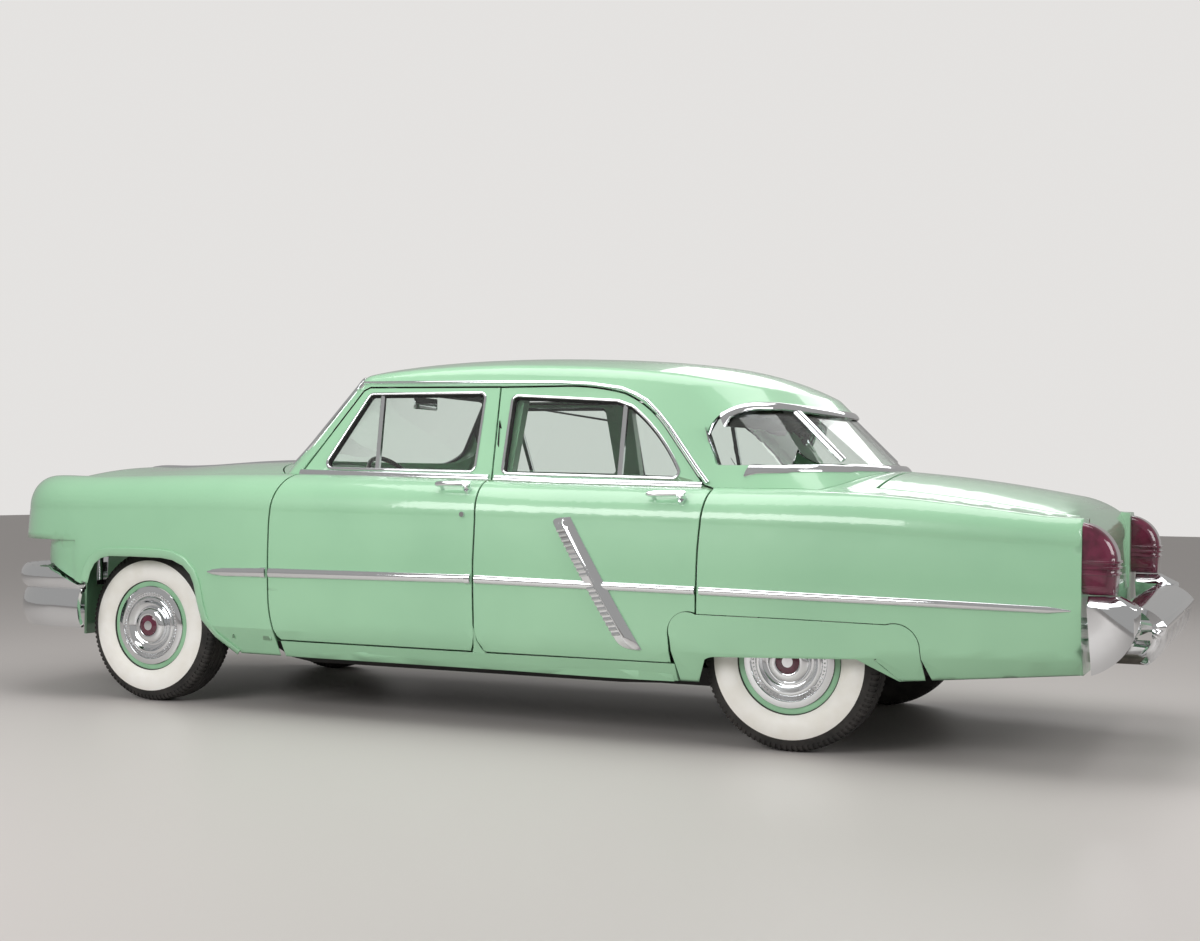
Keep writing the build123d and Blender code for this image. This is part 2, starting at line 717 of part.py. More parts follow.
# Rear axle: tubes, final drive, hub flanges and leaf springs
spring_half = 31
spring_y = rail_back_y + rail_wall + spring_half + fit_gap
with BuildPart() as rear_axle:
    with BuildSketch(Plane.XZ.offset(-tread / 2 - disc_place - 20)):
        with Locations((rear_axle_x, hub_z)):
            Circle(spindle_radius)
    extrude(amount=tread + 2 * disc_place + 40)
    with BuildSketch(Plane.XZ.offset(-tread / 2 + 60)):
        with Locations((rear_axle_x, hub_z)):
            Circle(axle_tube_radius)
    extrude(amount=tread - 120)
    with Locations((rear_axle_x, 0, hub_z)):
        Sphere(carrier_radius)
    for side in (-1, 1):
        with BuildSketch(Plane.XZ.offset(side * (tread / 2 - 66) - 5)):
            with Locations((rear_axle_x, hub_z)):
                Circle(backing_radius)
        extrude(amount=10)
        add(side_prism(side * spring_y - spring_half, side * spring_y + spring_half, (700, 268),
                       ((1330, 258), (1990, 330)), (1990, 350), ((1330, 288), (700, 290))))
        with Locations((rear_axle_x, side * spring_y, 305)):
            Box(110, 62, 70)
write(rear_axle.part, "rear_axle")

# Wheels: a rim with its disc and a domed bright cover, and balloon tyres


def cap(radius, rise):
    """Point half way out on a ball-shaped cap: its radius and its height over the cap's edge."""
    ball = (radius**2 + rise**2) / (2 * rise)
    return radius / 2, math.sqrt(ball**2 - radius**2 / 4) - (ball - rise)


def turned(y, *outline):
    """Solid turned about the line of the left wheel, from an outline of radius and outward distance."""
    with BuildPart() as form:
        with BuildSketch(Plane.YZ):
            with BuildLine():
                trace(*[tuple((-b, a) for a, b in leg) if isinstance(leg[0], tuple) else (-leg[1], leg[0])
                        for leg in outline])
            make_face()
        revolve(axis=Axis.Y)
    return form.part.moved(Location((0, -y, hub_z)))


half_rim = rim_width / 2
well_radius = bead_radius - 16
bead_foot = bead_radius + fit_gap, half_rim - 12 - fit_gap
bead_heel = flange_radius + 2, half_rim - 4 - fit_gap
tyre = turned(tread / 2, (bead_foot[0], -bead_foot[1]), (bead_heel[0], -bead_heel[1]),
              ((bead_radius + 66, -tyre_width / 2), (tyre_radius - 26, -tread_width / 2 - 6)),
              (tyre_radius - 4, -tread_width / 2 + 8), ((tyre_radius, 0), (tyre_radius - 4, tread_width / 2 - 8)),
              (tyre_radius - 26, tread_width / 2 + 6),
              ((bead_radius + 66, tyre_width / 2), bead_heel), bead_foot)
rim = turned(tread / 2, (bead_radius, -half_rim + 12), (flange_radius, -half_rim + 4), (flange_radius, -half_rim - 4),
             (bead_radius - 6, -half_rim - 4), (well_radius - rim_wall, -half_rim + 34),
             (well_radius - rim_wall, disc_place), (hub_radius, disc_place), (hub_radius, disc_place + disc_wall),
             (well_radius - rim_wall, disc_place + disc_wall), (bead_radius - 6, half_rim + 4),
             (flange_radius, half_rim + 4), (flange_radius, half_rim - 4), (bead_radius, half_rim - 12),
             (well_radius, half_rim - 36), (well_radius, -half_rim + 40))
cover_seat = half_rim + 4 + fit_gap
dome_radius, dome_rise = 84, cover_crown - 6
dome_half = cap(dome_radius, dome_rise)
cover = turned(tread / 2, (0, cover_seat + cover_crown - 14), (70, cover_seat + cover_crown - 18), (96, cover_seat - 6),
               (cover_radius - 12, cover_seat), (cover_radius, cover_seat), (cover_radius, cover_seat + 4),
               ((cover_radius - 26, cover_seat + 16), (104, cover_seat + 4)), (dome_radius, cover_seat + 6),
               ((dome_half[0], cover_seat + 6 + dome_half[1]), (0, cover_seat + cover_crown)))
for end, x in (("front", front_axle_x), ("rear", rear_axle_x)):
    with BuildPart() as wheel:
        add(rim.moved(Location((x, 0, 0))))
        with Locations(Plane(origin=(x, -tread / 2 - disc_place, hub_z), x_dir=(1, 0, 0), z_dir=(0, -1, 0))):
            with PolarLocations(stud_circle / 2, stud_count):
                Hole(radius=stud_size / 2, depth=disc_wall * 4)
        add(cover.moved(Location((x, 0, 0))))
    both_sides(wheel.part, f"wheel_{end}")
    both_sides(tyre.moved(Location((x, 0, 0))), f"tyre_{end}")

# Engine as one block, with the radiator ahead of it and the exhaust behind it
engine_back_x = -1420
write(block((-2120, engine_back_x), (-275, 275), (329 + fit_gap, 930)), "engine")
write(block((-2372, -2310), (-345, 345), (390 + fit_gap, 900)), "radiator")
pipe_radius = 25
pipe_y = 210
with BuildPart() as exhaust:
    with BuildLine() as pipe_line:
        FilletPolyline((engine_back_x + fit_gap, pipe_y, 360), (-1360, pipe_y, 360), (-1230, pipe_y, 175),
                       (900, pipe_y, 175), (1080, pipe_y, 262), (1700, pipe_y, 262), (1950, pipe_y, 330),
                       (2560, pipe_y, 330), radius=90)
    with BuildSketch(Plane(origin=pipe_line.line @ 0, z_dir=pipe_line.line % 0)):
        Circle(pipe_radius)
    sweep()
    with BuildSketch(Plane.YZ.offset(-40)):
        with Locations((pipe_y, 168)):
            Ellipse(92, 56)
    extrude(amount=560)
write(exhaust.part, "exhaust")

# Bumpers: chrome bars that wrap round the corners of the body
bumper_wrap_x = -2100
bumper_reach = 978


def wrapped(front_x, corner, end_x, *outline):
    """Bar swept round the nose from one side to the other. The outline gives depth behind the face and height."""
    with BuildPart() as bar:
        with BuildLine() as path:
            corner_x = front_x + corner + 40
            Line((end_x, -bumper_reach), (corner_x, -bumper_reach))
            ThreePointArc((corner_x, -bumper_reach),
                          (corner_x - corner * math.sin(math.pi / 4), -bumper_reach + corner * (1 - math.sin(math.pi / 4))),
                          (corner_x - corner, -bumper_reach + corner))
            ThreePointArc((corner_x - corner, -bumper_reach + corner), (front_x, 0),
                          (corner_x - corner, bumper_reach - corner))
            ThreePointArc((corner_x - corner, bumper_reach - corner),
                          (corner_x - corner * math.sin(math.pi / 4), bumper_reach - corner * (1 - math.sin(math.pi / 4))),
                          (corner_x, bumper_reach))
            Line((corner_x, bumper_reach), (end_x, bumper_reach))
        with BuildSketch(Plane(origin=(end_x, -bumper_reach, 0), x_dir=(0, 1, 0), z_dir=(1, 0, 0))):
            with BuildLine():
                trace(*outline)
            make_face()
        sweep(path=path.wire(), transition=Transition.RIGHT)
    return bar.part


upper_bar = wrapped(-bumper_end_x, 400, bumper_wrap_x, (26, 518), ((0, 574), (26, 626)),
                    (60, 600), (60, 518))
apron = wrapped(-bumper_end_x + 12, 400, bumper_wrap_x, (30, 524), ((2, 440), (34, 338)),
                (50, 345), ((22, 440), (48, 524)))
with BuildPart() as front_bumper:
    add(upper_bar)
    add(apron)
    add(side_prism(900, 1100, *bumper_end_line), mode=Mode.SUBTRACT)
    add(side_prism(-1100, -900, *bumper_end_line), mode=Mode.SUBTRACT)
    for side in (-1, 1):
        add(block((-2672, rail_front_x - fit_gap), (side * 373 - 28, side * 373 + 28), (bracket_z + 5, bracket_z + 36)))
write(front_bumper.part, "front_bumper")

# Rear bumper: a round centre bar with hanging lobes, between two prow-shaped ends with sloping tops
pod_face_x = tail_x + 20
pod_inner_y, pod_outer_y = 742, 948
pod_edge_z, pod_top_z, pod_tip_z = 616, 656, 378
pod_plan = [(pod_face_x, -pod_outer_y), (pod_face_x + 160, -pod_outer_y + 10), (pod_face_x + 178, -880),
            (pod_face_x + 165, -pod_inner_y), (pod_face_x, -pod_inner_y)]
pod_middle_y = -(pod_inner_y + pod_outer_y) / 2
with BuildPart() as pod_cap:
    with BuildSketch(Plane.XY.offset(pod_edge_z)):
        with BuildLine():
            Polyline(*pod_plan, close=True)
        make_face()
    with BuildSketch(Plane.XY.offset(pod_top_z)):
        with BuildLine():
            Polyline(*[(pod_face_x + (x - pod_face_x) * 0.56, pod_middle_y + (y - pod_middle_y) * 0.58)
                       for x, y in pod_plan], close=True)
        make_face()
    loft(ruled=True)
with BuildPart() as pod:
    add(plan_prism(pod_tip_z - 10, pod_edge_z, *pod_plan))
    add(side_prism(600, 1100, (pod_face_x, pod_edge_z), (pod_face_x + 18, pod_tip_z),
                   ((pod_face_x + 138, pod_tip_z + 92), (pod_face_x + 178, pod_edge_z))), mode=Mode.INTERSECT)
    add(pod_cap.part)
lobe_count, lobe_step, lobe_half = 5, 282, 104
with BuildPart() as rear_bumper:
    add(pod.part)
    mirror(about=Plane.XZ)
    add(side_prism(-pod_inner_y - 2, pod_inner_y + 2, (2560, pod_edge_z), ((2662, 600), (bumper_end_x, 548)),
                   ((bumper_end_x - 7, 521), (2694, 500)), (2668, 506), ((2646, 584), (2560, 590))))
    add(side_prism(-pod_inner_y - 2, pod_inner_y + 2, (2690, 530), ((2684, 466), (2640, 432)), (2622, 438),
                   ((2660, 470), (2668, 530))))
    for i in range(lobe_count):
        y = (i - (lobe_count - 1) / 2) * lobe_step
        with BuildPart(mode=Mode.PRIVATE) as lobe:
            add(side_prism(y - lobe_half, y + lobe_half, (2712, 548), ((2704, 462), (2646, 396)), (2622, 404),
                           ((2664, 470), (2672, 540))))
            add(plan_prism(pod_tip_z, pod_edge_z, (2600, -y - lobe_half), (2672, -y - lobe_half),
                           ((2704, -y - lobe_half + 14), (2716, -y - lobe_half + 44)), (2716, -y + lobe_half - 44),
                           ((2704, -y + lobe_half - 14), (2672, -y + lobe_half)), (2600, -y + lobe_half)),
                mode=Mode.INTERSECT)
        add(lobe.part)
    for side in (-1, 1):
        y = side * rear_rail_y
        add(block((2405 + fit_gap, 2640), (y - 24, y + 24), (420, 470)))
write(rear_bumper.part, "rear_bumper")

# Grille of upright teeth between two bars
grille_x, grille_depth = -2500, 30
tooth_step = 78
with BuildPart() as grille:
    for low, high in ((500 + fit_gap, 524), (700, 735 - fit_gap)):
        add(block((grille_x, grille_x + grille_depth), (-430 + fit_gap, 430 - fit_gap), (low, high)))
    for i in range(-5, 6):
        with Locations((grille_x + grille_depth / 2, i * tooth_step, 612)):
            Box(26, 18, 190)
write(grille.part, "grille")

# Headlamps in round bezels and tail lamps against the fender ends
lamp_back_x, bezel_x = -2530, -2620
lens_x, lens_radius, lens_rise = -2626, 84, 22
lens_half = cap(lens_radius, lens_rise)
with BuildPart() as headlamps:
    for side in (-1, 1):
        with BuildSketch(Plane(origin=(0, side * lamp_y, lamp_z), x_dir=(1, 0, 0), z_dir=(0, -1, 0))):
            with BuildLine():
                trace((lamp_back_x, 0), (lamp_back_x, lamp_radius), (bezel_x, lamp_radius),
                      ((bezel_x - 10, lens_radius + 9), (lens_x, lens_radius)),
                      ((lens_x - lens_half[1], lens_half[0]), (lens_x - lens_rise, 0)))
            make_face()
        revolve(axis=Axis((0, side * lamp_y, lamp_z), (1, 0, 0)))
write(headlamps.part, "headlamps")

tail_lamp_y = 842
lamp_base_z, lamp_top_z = 660, 918
lamp_half, lamp_depth = 78, 118
rib_depth, rib_height, rib_step = 6, 9, 21


def tail_lens(grow):
    """Both tail lamps' quarter domes, larger by a distance all round."""
    with BuildPart() as lenses:
        for side in (-1, 1):
            with BuildSketch(Plane(origin=(tail_x + fit_gap, side * tail_lamp_y, 0), x_dir=(1, 0, 0), z_dir=(0, -1, 0))):
                with BuildLine():
                    trace((0, lamp_base_z), (lamp_depth - 6 + grow, lamp_base_z), (lamp_depth + grow, 750),
                          ((lamp_depth - 34 + grow * 0.7, lamp_top_z - 46 + grow * 0.7), (0, lamp_top_z + grow)))
                make_face()
            extrude(amount=lamp_half + grow * 0.5, both=True)
        outer_edges = lenses.edges().filter_by(Axis.Y, reverse=True)
        fillet(outer_edges.filter_by(lambda e: e.center().X > tail_x + 40), radius=34)
    return lenses.part


with BuildPart() as tail_lamps:
    add(tail_lens(0))
    for i in range(3):
        low = lamp_base_z + 72 + i * rib_step
        with BuildPart(mode=Mode.PRIVATE) as rib:
            add(tail_lens(rib_depth))
            add(block((2300, 2700), (-1100, 1100), (low, low + rib_height)), mode=Mode.INTERSECT)
        add(rib.part)
write(tail_lamps.part, "tail_lamps")

# Instrument panel under the windscreen
dash_half = 740
dash_front_x = -1165
with BuildPart() as dash_blank:
    add(side_prism(-dash_half, dash_half, (dash_front_x, 985), (dash_front_x, 1072), (-985, 1082),
                   ((-930, 1070), (-905, 1020)), (-925, 850), (-985, 800), (-1010, 985)))
    add(inner_body.moved(Location((0, 0, -fit_gap))), mode=Mode.INTERSECT)
write(dash_blank.part, "instrument_panel")

# Steering column with its wheel: a rim on three spokes and a smaller horn ring
wheel_y = -370
column_radius = 22
column_top = Vector(-700, wheel_y, 985)
column_rake = 38.3
rim_radius, rim_thick = 210, 11
ring_radius, ring_thick = 128, 4
column_way = Vector(math.cos(math.radians(column_rake)), 0, math.sin(math.radians(column_rake)))
column_base_x = firewall_x + floor_wall + column_radius * column_way.Z + fit_gap
column_length = (column_top.X - column_base_x) / column_way.X
wheel_plane = Plane(origin=column_top, x_dir=(0, 1, 0), z_dir=column_way)
with BuildPart() as steering:
    with BuildSketch(wheel_plane):
        Circle(column_radius)
    extrude(amount=-column_length)
    with BuildSketch(wheel_plane.offset(-6)):
        Circle(46)
    extrude(amount=34)
    for radius, thick, lift in ((rim_radius, rim_thick, 0), (ring_radius, ring_thick, 16)):
        with Locations(wheel_plane.offset(lift)):
            Torus(radius, thick)
    with BuildSketch(wheel_plane.offset(-3)):
        for angle in (180, 0, -90):
            with Locations(Location((0, 0, 0), (0, 0, angle))):
                Rectangle(rim_radius, 26, align=(Align.MIN, Align.CENTER))
    extrude(amount=8)
    with BuildSketch(wheel_plane.offset(5)):
        for angle in (180, 0, -90):
            with Locations(Location((0, 0, 0), (0, 0, angle))):
                Rectangle(ring_radius, 10, align=(Align.MIN, Align.CENTER))
    extrude(amount=13)
write(steering.part, "steering_wheel")

# Bench seats
seat_half = 690
with BuildPart() as front_seat:
    add(side_prism(-seat_half, seat_half, (-480, floor_z + fit_gap), (-480, 500), ((-470, 580), (-420, 606)), (-60, 566),
                   (40, 1040), ((75, 1078), (122, 1060)), (150, 1010), (70, 420), (60, floor_z + fit_gap)))
write(front_seat.part, "front_seat")
trunk_top_z = trunk_floor_z + floor_wall + fit_gap
seat_box_x = axle_step_x - floor_wall - fit_gap
with BuildPart() as rear_seat:
    add(side_prism(-trunk_half - 10, trunk_half + 10, (560, floor_z + fit_gap), (560, 590), ((575, 650), (630, 668)),
                   (1010, 640), (1120, 1000), ((1160, 1040), (1215, 1020)), (1215, 940), (1110, trunk_top_z),
                   (seat_box_x, trunk_top_z), (seat_box_x, floor_z + fit_gap)))
write(rear_seat.part, "rear_seat")

# Inner sheet metal: aprons beside the engine, wheelhouses over the rear wheels and the shelf behind the seat
apron_y, apron_wall = 430, 10
house_wall = 12
house_radius = tyre_radius + 57
house_y = trunk_half + 12
door_back_x = rear_door_line[10][0][0]
shelf_x = 1215 + fit_gap
with BuildPart() as apron:
    add(side_prism(apron_y, apron_y + apron_wall, (firewall_x - fit_gap, floor_z + 10), (firewall_x - fit_gap, 980),
                   (-2370, 950), (-2400, 420), (-2050, 420), ((front_axle_x, 600), (-1530, 420)), (-1330, floor_z + 10)))
    mirror(about=Plane.XZ)
with BuildPart() as house:
    with BuildSketch(Plane.XZ.offset(house_y)):
        with Locations((rear_axle_x, hub_z)):
            Circle(house_radius)
    extrude(amount=1000 - house_y)
    with BuildSketch(Plane.XZ.offset(house_y + house_wall)):
        with Locations((rear_axle_x, hub_z)):
            Circle(house_radius - house_wall)
    extrude(amount=1000 - house_y - house_wall, mode=Mode.SUBTRACT)
    add(block((500, 2300), (-1100, 0), (trunk_floor_z, 1400)), mode=Mode.INTERSECT)
    add(block((500, door_back_x + 3 * door_gap), (-1100, -door_lining_y + 10), (400, 1400)), mode=Mode.SUBTRACT)
    add(inner_body, mode=Mode.INTERSECT)
    mirror(about=Plane.XZ)
with BuildPart() as shelf:
    add(block((shelf_x, 1560), (-1100, 1100), (980, 992)))
    add(inner_body, mode=Mode.INTERSECT)
with BuildPart() as inner_panels:
    add(apron.part)
    add(house.part)
    add(shelf.part)
write(inner_panels.part, "inner_panels")
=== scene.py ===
import json
import math

import bmesh
import bpy
from mathutils import Matrix, Vector
from mathutils.bvhtree import BVHTree

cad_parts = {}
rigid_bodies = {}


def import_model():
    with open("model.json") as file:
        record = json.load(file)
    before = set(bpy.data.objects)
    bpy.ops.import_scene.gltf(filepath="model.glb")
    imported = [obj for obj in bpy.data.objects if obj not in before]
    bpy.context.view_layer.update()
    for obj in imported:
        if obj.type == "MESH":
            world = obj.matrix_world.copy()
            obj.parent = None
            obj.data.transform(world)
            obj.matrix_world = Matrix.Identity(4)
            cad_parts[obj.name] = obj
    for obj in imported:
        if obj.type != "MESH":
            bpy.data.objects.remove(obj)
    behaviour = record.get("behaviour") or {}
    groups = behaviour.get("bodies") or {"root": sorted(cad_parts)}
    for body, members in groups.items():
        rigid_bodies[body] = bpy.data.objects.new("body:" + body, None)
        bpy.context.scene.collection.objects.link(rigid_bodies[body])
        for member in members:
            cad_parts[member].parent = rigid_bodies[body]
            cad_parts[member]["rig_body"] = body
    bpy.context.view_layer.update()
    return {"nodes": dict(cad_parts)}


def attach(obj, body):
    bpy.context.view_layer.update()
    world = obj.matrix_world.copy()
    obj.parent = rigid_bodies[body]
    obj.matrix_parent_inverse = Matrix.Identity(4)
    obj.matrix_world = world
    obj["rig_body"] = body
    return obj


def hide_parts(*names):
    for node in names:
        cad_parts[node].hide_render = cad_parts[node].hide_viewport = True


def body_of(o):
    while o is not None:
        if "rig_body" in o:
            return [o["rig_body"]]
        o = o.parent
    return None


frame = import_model()

# Body shell: pressed steel panels with rounded folded edges, sprayed in pale mint green enamel
# and polished. Each panel hangs on the frame or on its own hinges, with even gaps round it.


def tint(code):
    """Linear colour of an sRGB hex value."""
    parts = [int(code[i:i + 2], 16) / 255 for i in (1, 3, 5)]
    return tuple(p / 12.92 if p <= 0.04045 else ((p + 0.055) / 1.055) ** 2.4 for p in parts) + (1,)


def add_node(tree, kind, inputs=(), **settings):
    """A shader node with its settings. An input is a value, or another node's output to link."""
    made = tree.nodes.new(kind)
    for key, value in settings.items():
        setattr(made, key, value)
    for key, value in dict(inputs).items():
        if isinstance(value, bpy.types.NodeSocket):
            tree.links.new(value, made.inputs[key])
        else:
            made.inputs[key].default_value = value
    return made


def new_finish(name, colour, roughness, metallic=0.0, **more):
    """A material whose shader starts from one colour. Gives the material, its tree, shader and place node."""
    made = bpy.data.materials.new(name)
    made.use_nodes = True
    tree = made.node_tree
    shader = tree.nodes["Principled BSDF"]
    shader.inputs["Base Color"].default_value = tint(colour)
    shader.inputs["Roughness"].default_value = roughness
    shader.inputs["Metallic"].default_value = metallic
    for key, value in more.items():
        shader.inputs[key.replace("_", " ")].default_value = value
    place = add_node(tree, "ShaderNodeTexCoord")
    return made, tree, shader, place.outputs["Object"]


def ripple(tree, shader, place, size_mm, depth_mm):
    """Fine unevenness of a surface, from the width and depth of its waves."""
    noise = add_node(tree, "ShaderNodeTexNoise", {"Vector": place, "Scale": 1000 / size_mm, "Detail": 2.0})
    bump = add_node(tree, "ShaderNodeBump", {"Height": noise.outputs["Fac"], "Distance": depth_mm / 1000})
    tree.links.new(bump.outputs["Normal"], shader.inputs["Normal"])


def clouded(tree, shader, place, size_mm, low, high, socket="Base Color"):
    """Slow change between two colours, or two values of another socket, over the surface."""
    noise = add_node(tree, "ShaderNodeTexNoise", {"Vector": place, "Scale": 1000 / size_mm, "Detail": 3.0})
    ramp = add_node(tree, "ShaderNodeValToRGB", {"Fac": noise.outputs["Fac"]})
    for stop, place_at, value in zip(ramp.color_ramp.elements, (0.35, 0.65), (low, high)):
        stop.position = place_at
        stop.color = tint(value) if isinstance(value, str) else (value, value, value, 1)
    tree.links.new(ramp.outputs["Color"], shader.inputs[socket])


# Alkyd enamel over primer: deep gloss with the faint ripple of a sprayed coat
enamel, tree, shader, place = new_finish("mint_enamel", "#98C9A2", 0.34, Coat_Weight=1.0, Coat_Roughness=0.06)
clouded(tree, shader, place, 700, "#94C59F", "#9DCEA7")
edge_round = add_node(tree, "ShaderNodeBevel", {"Radius": 0.0035}, samples=4)
orange_peel = add_node(tree, "ShaderNodeTexNoise", {"Vector": place, "Scale": 1000 / 9, "Detail": 1.0})
peel_bump = add_node(tree, "ShaderNodeBump", {"Height": orange_peel.outputs["Fac"], "Distance": 0.00003,
                                              "Normal": edge_round.outputs["Normal"]})
tree.links.new(peel_bump.outputs["Normal"], shader.inputs["Normal"])
tree.links.new(edge_round.outputs["Normal"], shader.inputs["Coat Normal"])

# Woven headlining cloth, dark and dull, glued under the roof
lining, tree, shader, place = new_finish("headlining_cloth", "#4A4038", 0.95)
ripple(tree, shader, place, 1.2, 0.3)

# Door linings and garnish of embossed vinyl in a darker green
trim_vinyl, tree, shader, place = new_finish("lining_vinyl", "#6F8F70", 0.55)
clouded(tree, shader, place, 240, "#6A8A6C", "#759576")
ripple(tree, shader, place, 1.6, 0.25)


def finish_mesh(bm, name, body, *finishes, crease=35):
    """Turns a bmesh into a finished piece on its body, smooth between its sharp edges."""
    mesh = bpy.data.meshes.new(name)
    bm.normal_update()
    bm.to_mesh(mesh)
    bm.free()
    for finish in finishes:
        mesh.materials.append(finish)
    mesh.shade_smooth()
    mesh.set_sharp_from_angle(angle=math.radians(crease))
    piece = bpy.data.objects.new(name, mesh)
    bpy.context.scene.collection.objects.link(piece)
    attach(piece, body)
    return piece


def joined(node):
    """A bmesh of a solid's own mesh, with its loose triangles joined up."""
    bm = bmesh.new()
    bm.from_mesh(frame["nodes"][node].data)
    bmesh.ops.remove_doubles(bm, verts=bm.verts, dist=0.00001)
    bmesh.ops.dissolve_degenerate(bm, dist=0.00001, edges=bm.edges)
    bm.normal_update()
    return bm


def between(rows, x):
    """Value at x in rows of x and value, straight between two rows."""
    for (x0, a), (x1, b) in zip(rows, rows[1:]):
        if x <= x1:
            return a + (b - a) * max(0, x - x0) / (x1 - x0)
    return rows[-1][1]


# The side panels turn in under the body. Along the car: height where the metal starts to turn, and the height
# and half width of its lower edge. The last table gives each lower edge's ends before and after it is turned.
turn_line = [(-2.7, 0.366), (1.05, 0.368), (1.7, 0.386), (2.15, 0.401), (2.44, 0.413)]
foot_line = [(-2.7, 0.257), (0.1, 0.257), (1.05, 0.260), (1.7, 0.300), (2.15, 0.340), (2.44, 0.366)]
foot_half = [(-1.79, 0.860), (-0.9, 0.875), (0.1, 0.880), (1.05, 0.880), (1.7, 0.872), (2.15, 0.860),
             (2.44, 0.850)]
door_foot = 0.335
foot_ends = {"front_fender": [(-1.375, -0.979, -1.238, -0.996)], "rear_quarter": [(1.86, 2.45, 1.887, 2.45)],
             "fender_skirts": [(0.88, 1.02, 0.899, 0.986), (1.64, 1.89, 1.779, 1.886)],
             "front_door": [(-0.99, -0.02, -0.99, -0.02)], "rear_door": [(0.04, 0.885, 0.04, 0.885)]}


def turned_under(bm, panel):
    """Draws a side panel's lower edge down to where the sheet ends under the body."""
    for point in bm.verts:
        x, y, z = point.co
        if abs(y) > 0.82 and z < between(turn_line, x):
            for low, high, new_low, new_high in foot_ends[panel]:
                if low <= x <= high:
                    x = new_low + (x - low) * (new_high - new_low) / (high - low)
                    foot = between(foot_line, x)
                    z = door_foot if "door" in panel else foot
                    y = math.copysign(between(foot_half, x) + (z - foot) * 0.577, y)
                    point.co = x, y, z
                    break


sheets = {}
sheet_crease = 32


def panel_of(node, *finishes, slot="body_paint", inside=None, crease=sheet_crease):
    """A panel from its solid's own mesh. Faces that the test calls inside get the second finish."""
    bm = joined(node)
    panel = node.removesuffix("_left").removesuffix("_right")
    if panel in foot_ends:
        turned_under(bm, panel)
    for face in bm.faces:
        face.material_index = 1 if inside and inside(face) else 0
    body = body_of(frame["nodes"][node])[0]
    piece = finish_mesh(bm, node + "_sheet", body, *finishes, crease=crease)
    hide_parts(node)
    piece.modifiers.new("even_shading", "WEIGHTED_NORMAL").keep_sharp = True
    sheets[node] = piece.data
    return piece


def settled(*pieces):
    """Turns what the pieces' modifiers make into their own meshes."""
    depsgraph = bpy.context.evaluated_depsgraph_get()
    made = [bpy.data.meshes.new_from_object(piece.evaluated_get(depsgraph)) for piece in pieces]
    for piece, mesh in zip(pieces, made):
        piece.modifiers.clear()
        piece.data = mesh


def box(bm, low, high):
    """A plain block between two corners."""
    low, high = Vector(low), Vector(high)
    bmesh.ops.create_cube(bm, size=1,
                          matrix=Matrix.Translation((low + high) / 2) @ Matrix.Diagonal((*(high - low), 1)))


def cut_away(piece, low, high):
    """Cuts a box out of a sheet metal piece."""
    bm = bmesh.new()
    box(bm, low, high)
    mesh = bpy.data.meshes.new("cutter")
    bm.to_mesh(mesh)
    bm.free()
    cutter = bpy.data.objects.new("cutter", mesh)
    bpy.context.scene.collection.objects.link(cutter)
    cut = piece.modifiers.new("cut", "BOOLEAN")
    cut.object = cutter
    settled(piece)
    piece.data.set_sharp_from_angle(angle=math.radians(sheet_crease))
    piece.modifiers.new("even_shading", "WEIGHTED_NORMAL").keep_sharp = True
    bpy.data.objects.remove(cutter)


def coat(node, finish):
    """Gives a solid that stays as it is its finish."""
    for place_at in frame["nodes"][node].material_slots:
        place_at.link = "OBJECT"
        place_at.material = finish


# Black chassis paint, brushed on and dusty underneath
chassis_black, tree, shader, place = new_finish("chassis_paint", "#1E1D1C", 0.62)
clouded(tree, shader, place, 140, "#1A1918", "#2B2826")
ripple(tree, shader, place, 6, 0.15)

for node in ("hood", "trunk_lid", "deck_panel", "rear_panel", "nose_panel", "fender_skirts",
             "front_fender_left", "front_fender_right", "rear_quarter_left", "rear_quarter_right", "cowl",
             "centre_pillars", "inner_panels"):
    panel_of(node, enamel)
shell = panel_of("roof", enamel, lining, inside=lambda f: f.normal.z < -0.3 and f.calc_center_median().z > 1.3)
# The solid's opening for the backlight has a pointed leftover in each lower corner, which is trimmed off
for y_low, y_high in ((-0.86, -0.47), (0.47, 0.86)):
    cut_away(shell, (1.262, y_low, 1.1235), (1.46, y_high, 1.30))
sheets["roof"] = shell.data
# Half width within which a door's faces are its lining, up to the window sill, and the half width
# of the black painted floor between its body coloured sills
lining_half, sill_z, floor_half = 0.85, 1.06, 0.838
for side in ("left", "right"):
    for end in ("front", "rear"):
        panel_of(f"{end}_door_{side}", enamel, trim_vinyl,
                 inside=lambda f: (abs(f.calc_center_median().y) < lining_half
                                   and f.calc_center_median().z < sill_z))
panel_of("floor_pan", enamel, chassis_black, inside=lambda f: abs(f.calc_center_median().y) < floor_half)

# Wheels: pressed steel discs in body colour, balloon tyres with a white side band, and full
# bright covers pressed from chromed sheet with a ring of beads and a maroon plastic centre.
hub_place = {"front": Vector((-1.790, 0, 0.355)), "rear": Vector((1.334, 0, 0.355))}
wheel_plane_y = 0.743
tread_notches = 96


def spun(bm, outline, steps, closed=False):
    """Turns an outline of radius and outward distance about the wheel's line, which is the Y axis."""
    points = [bm.verts.new((0, -out, radius)) for radius, out in outline]
    pairs = list(zip(points, points[1:])) + ([(points[-1], points[0])] if closed else [])
    edges = [bm.edges.new(pair) for pair in pairs]
    bmesh.ops.spin(bm, geom=points + edges, cent=(0, 0, 0), axis=(0, 1, 0), angle=math.tau, steps=steps,
                   use_merge=True)
    bmesh.ops.remove_doubles(bm, verts=bm.verts, dist=0.00002)
    bmesh.ops.recalc_face_normals(bm, faces=bm.faces)


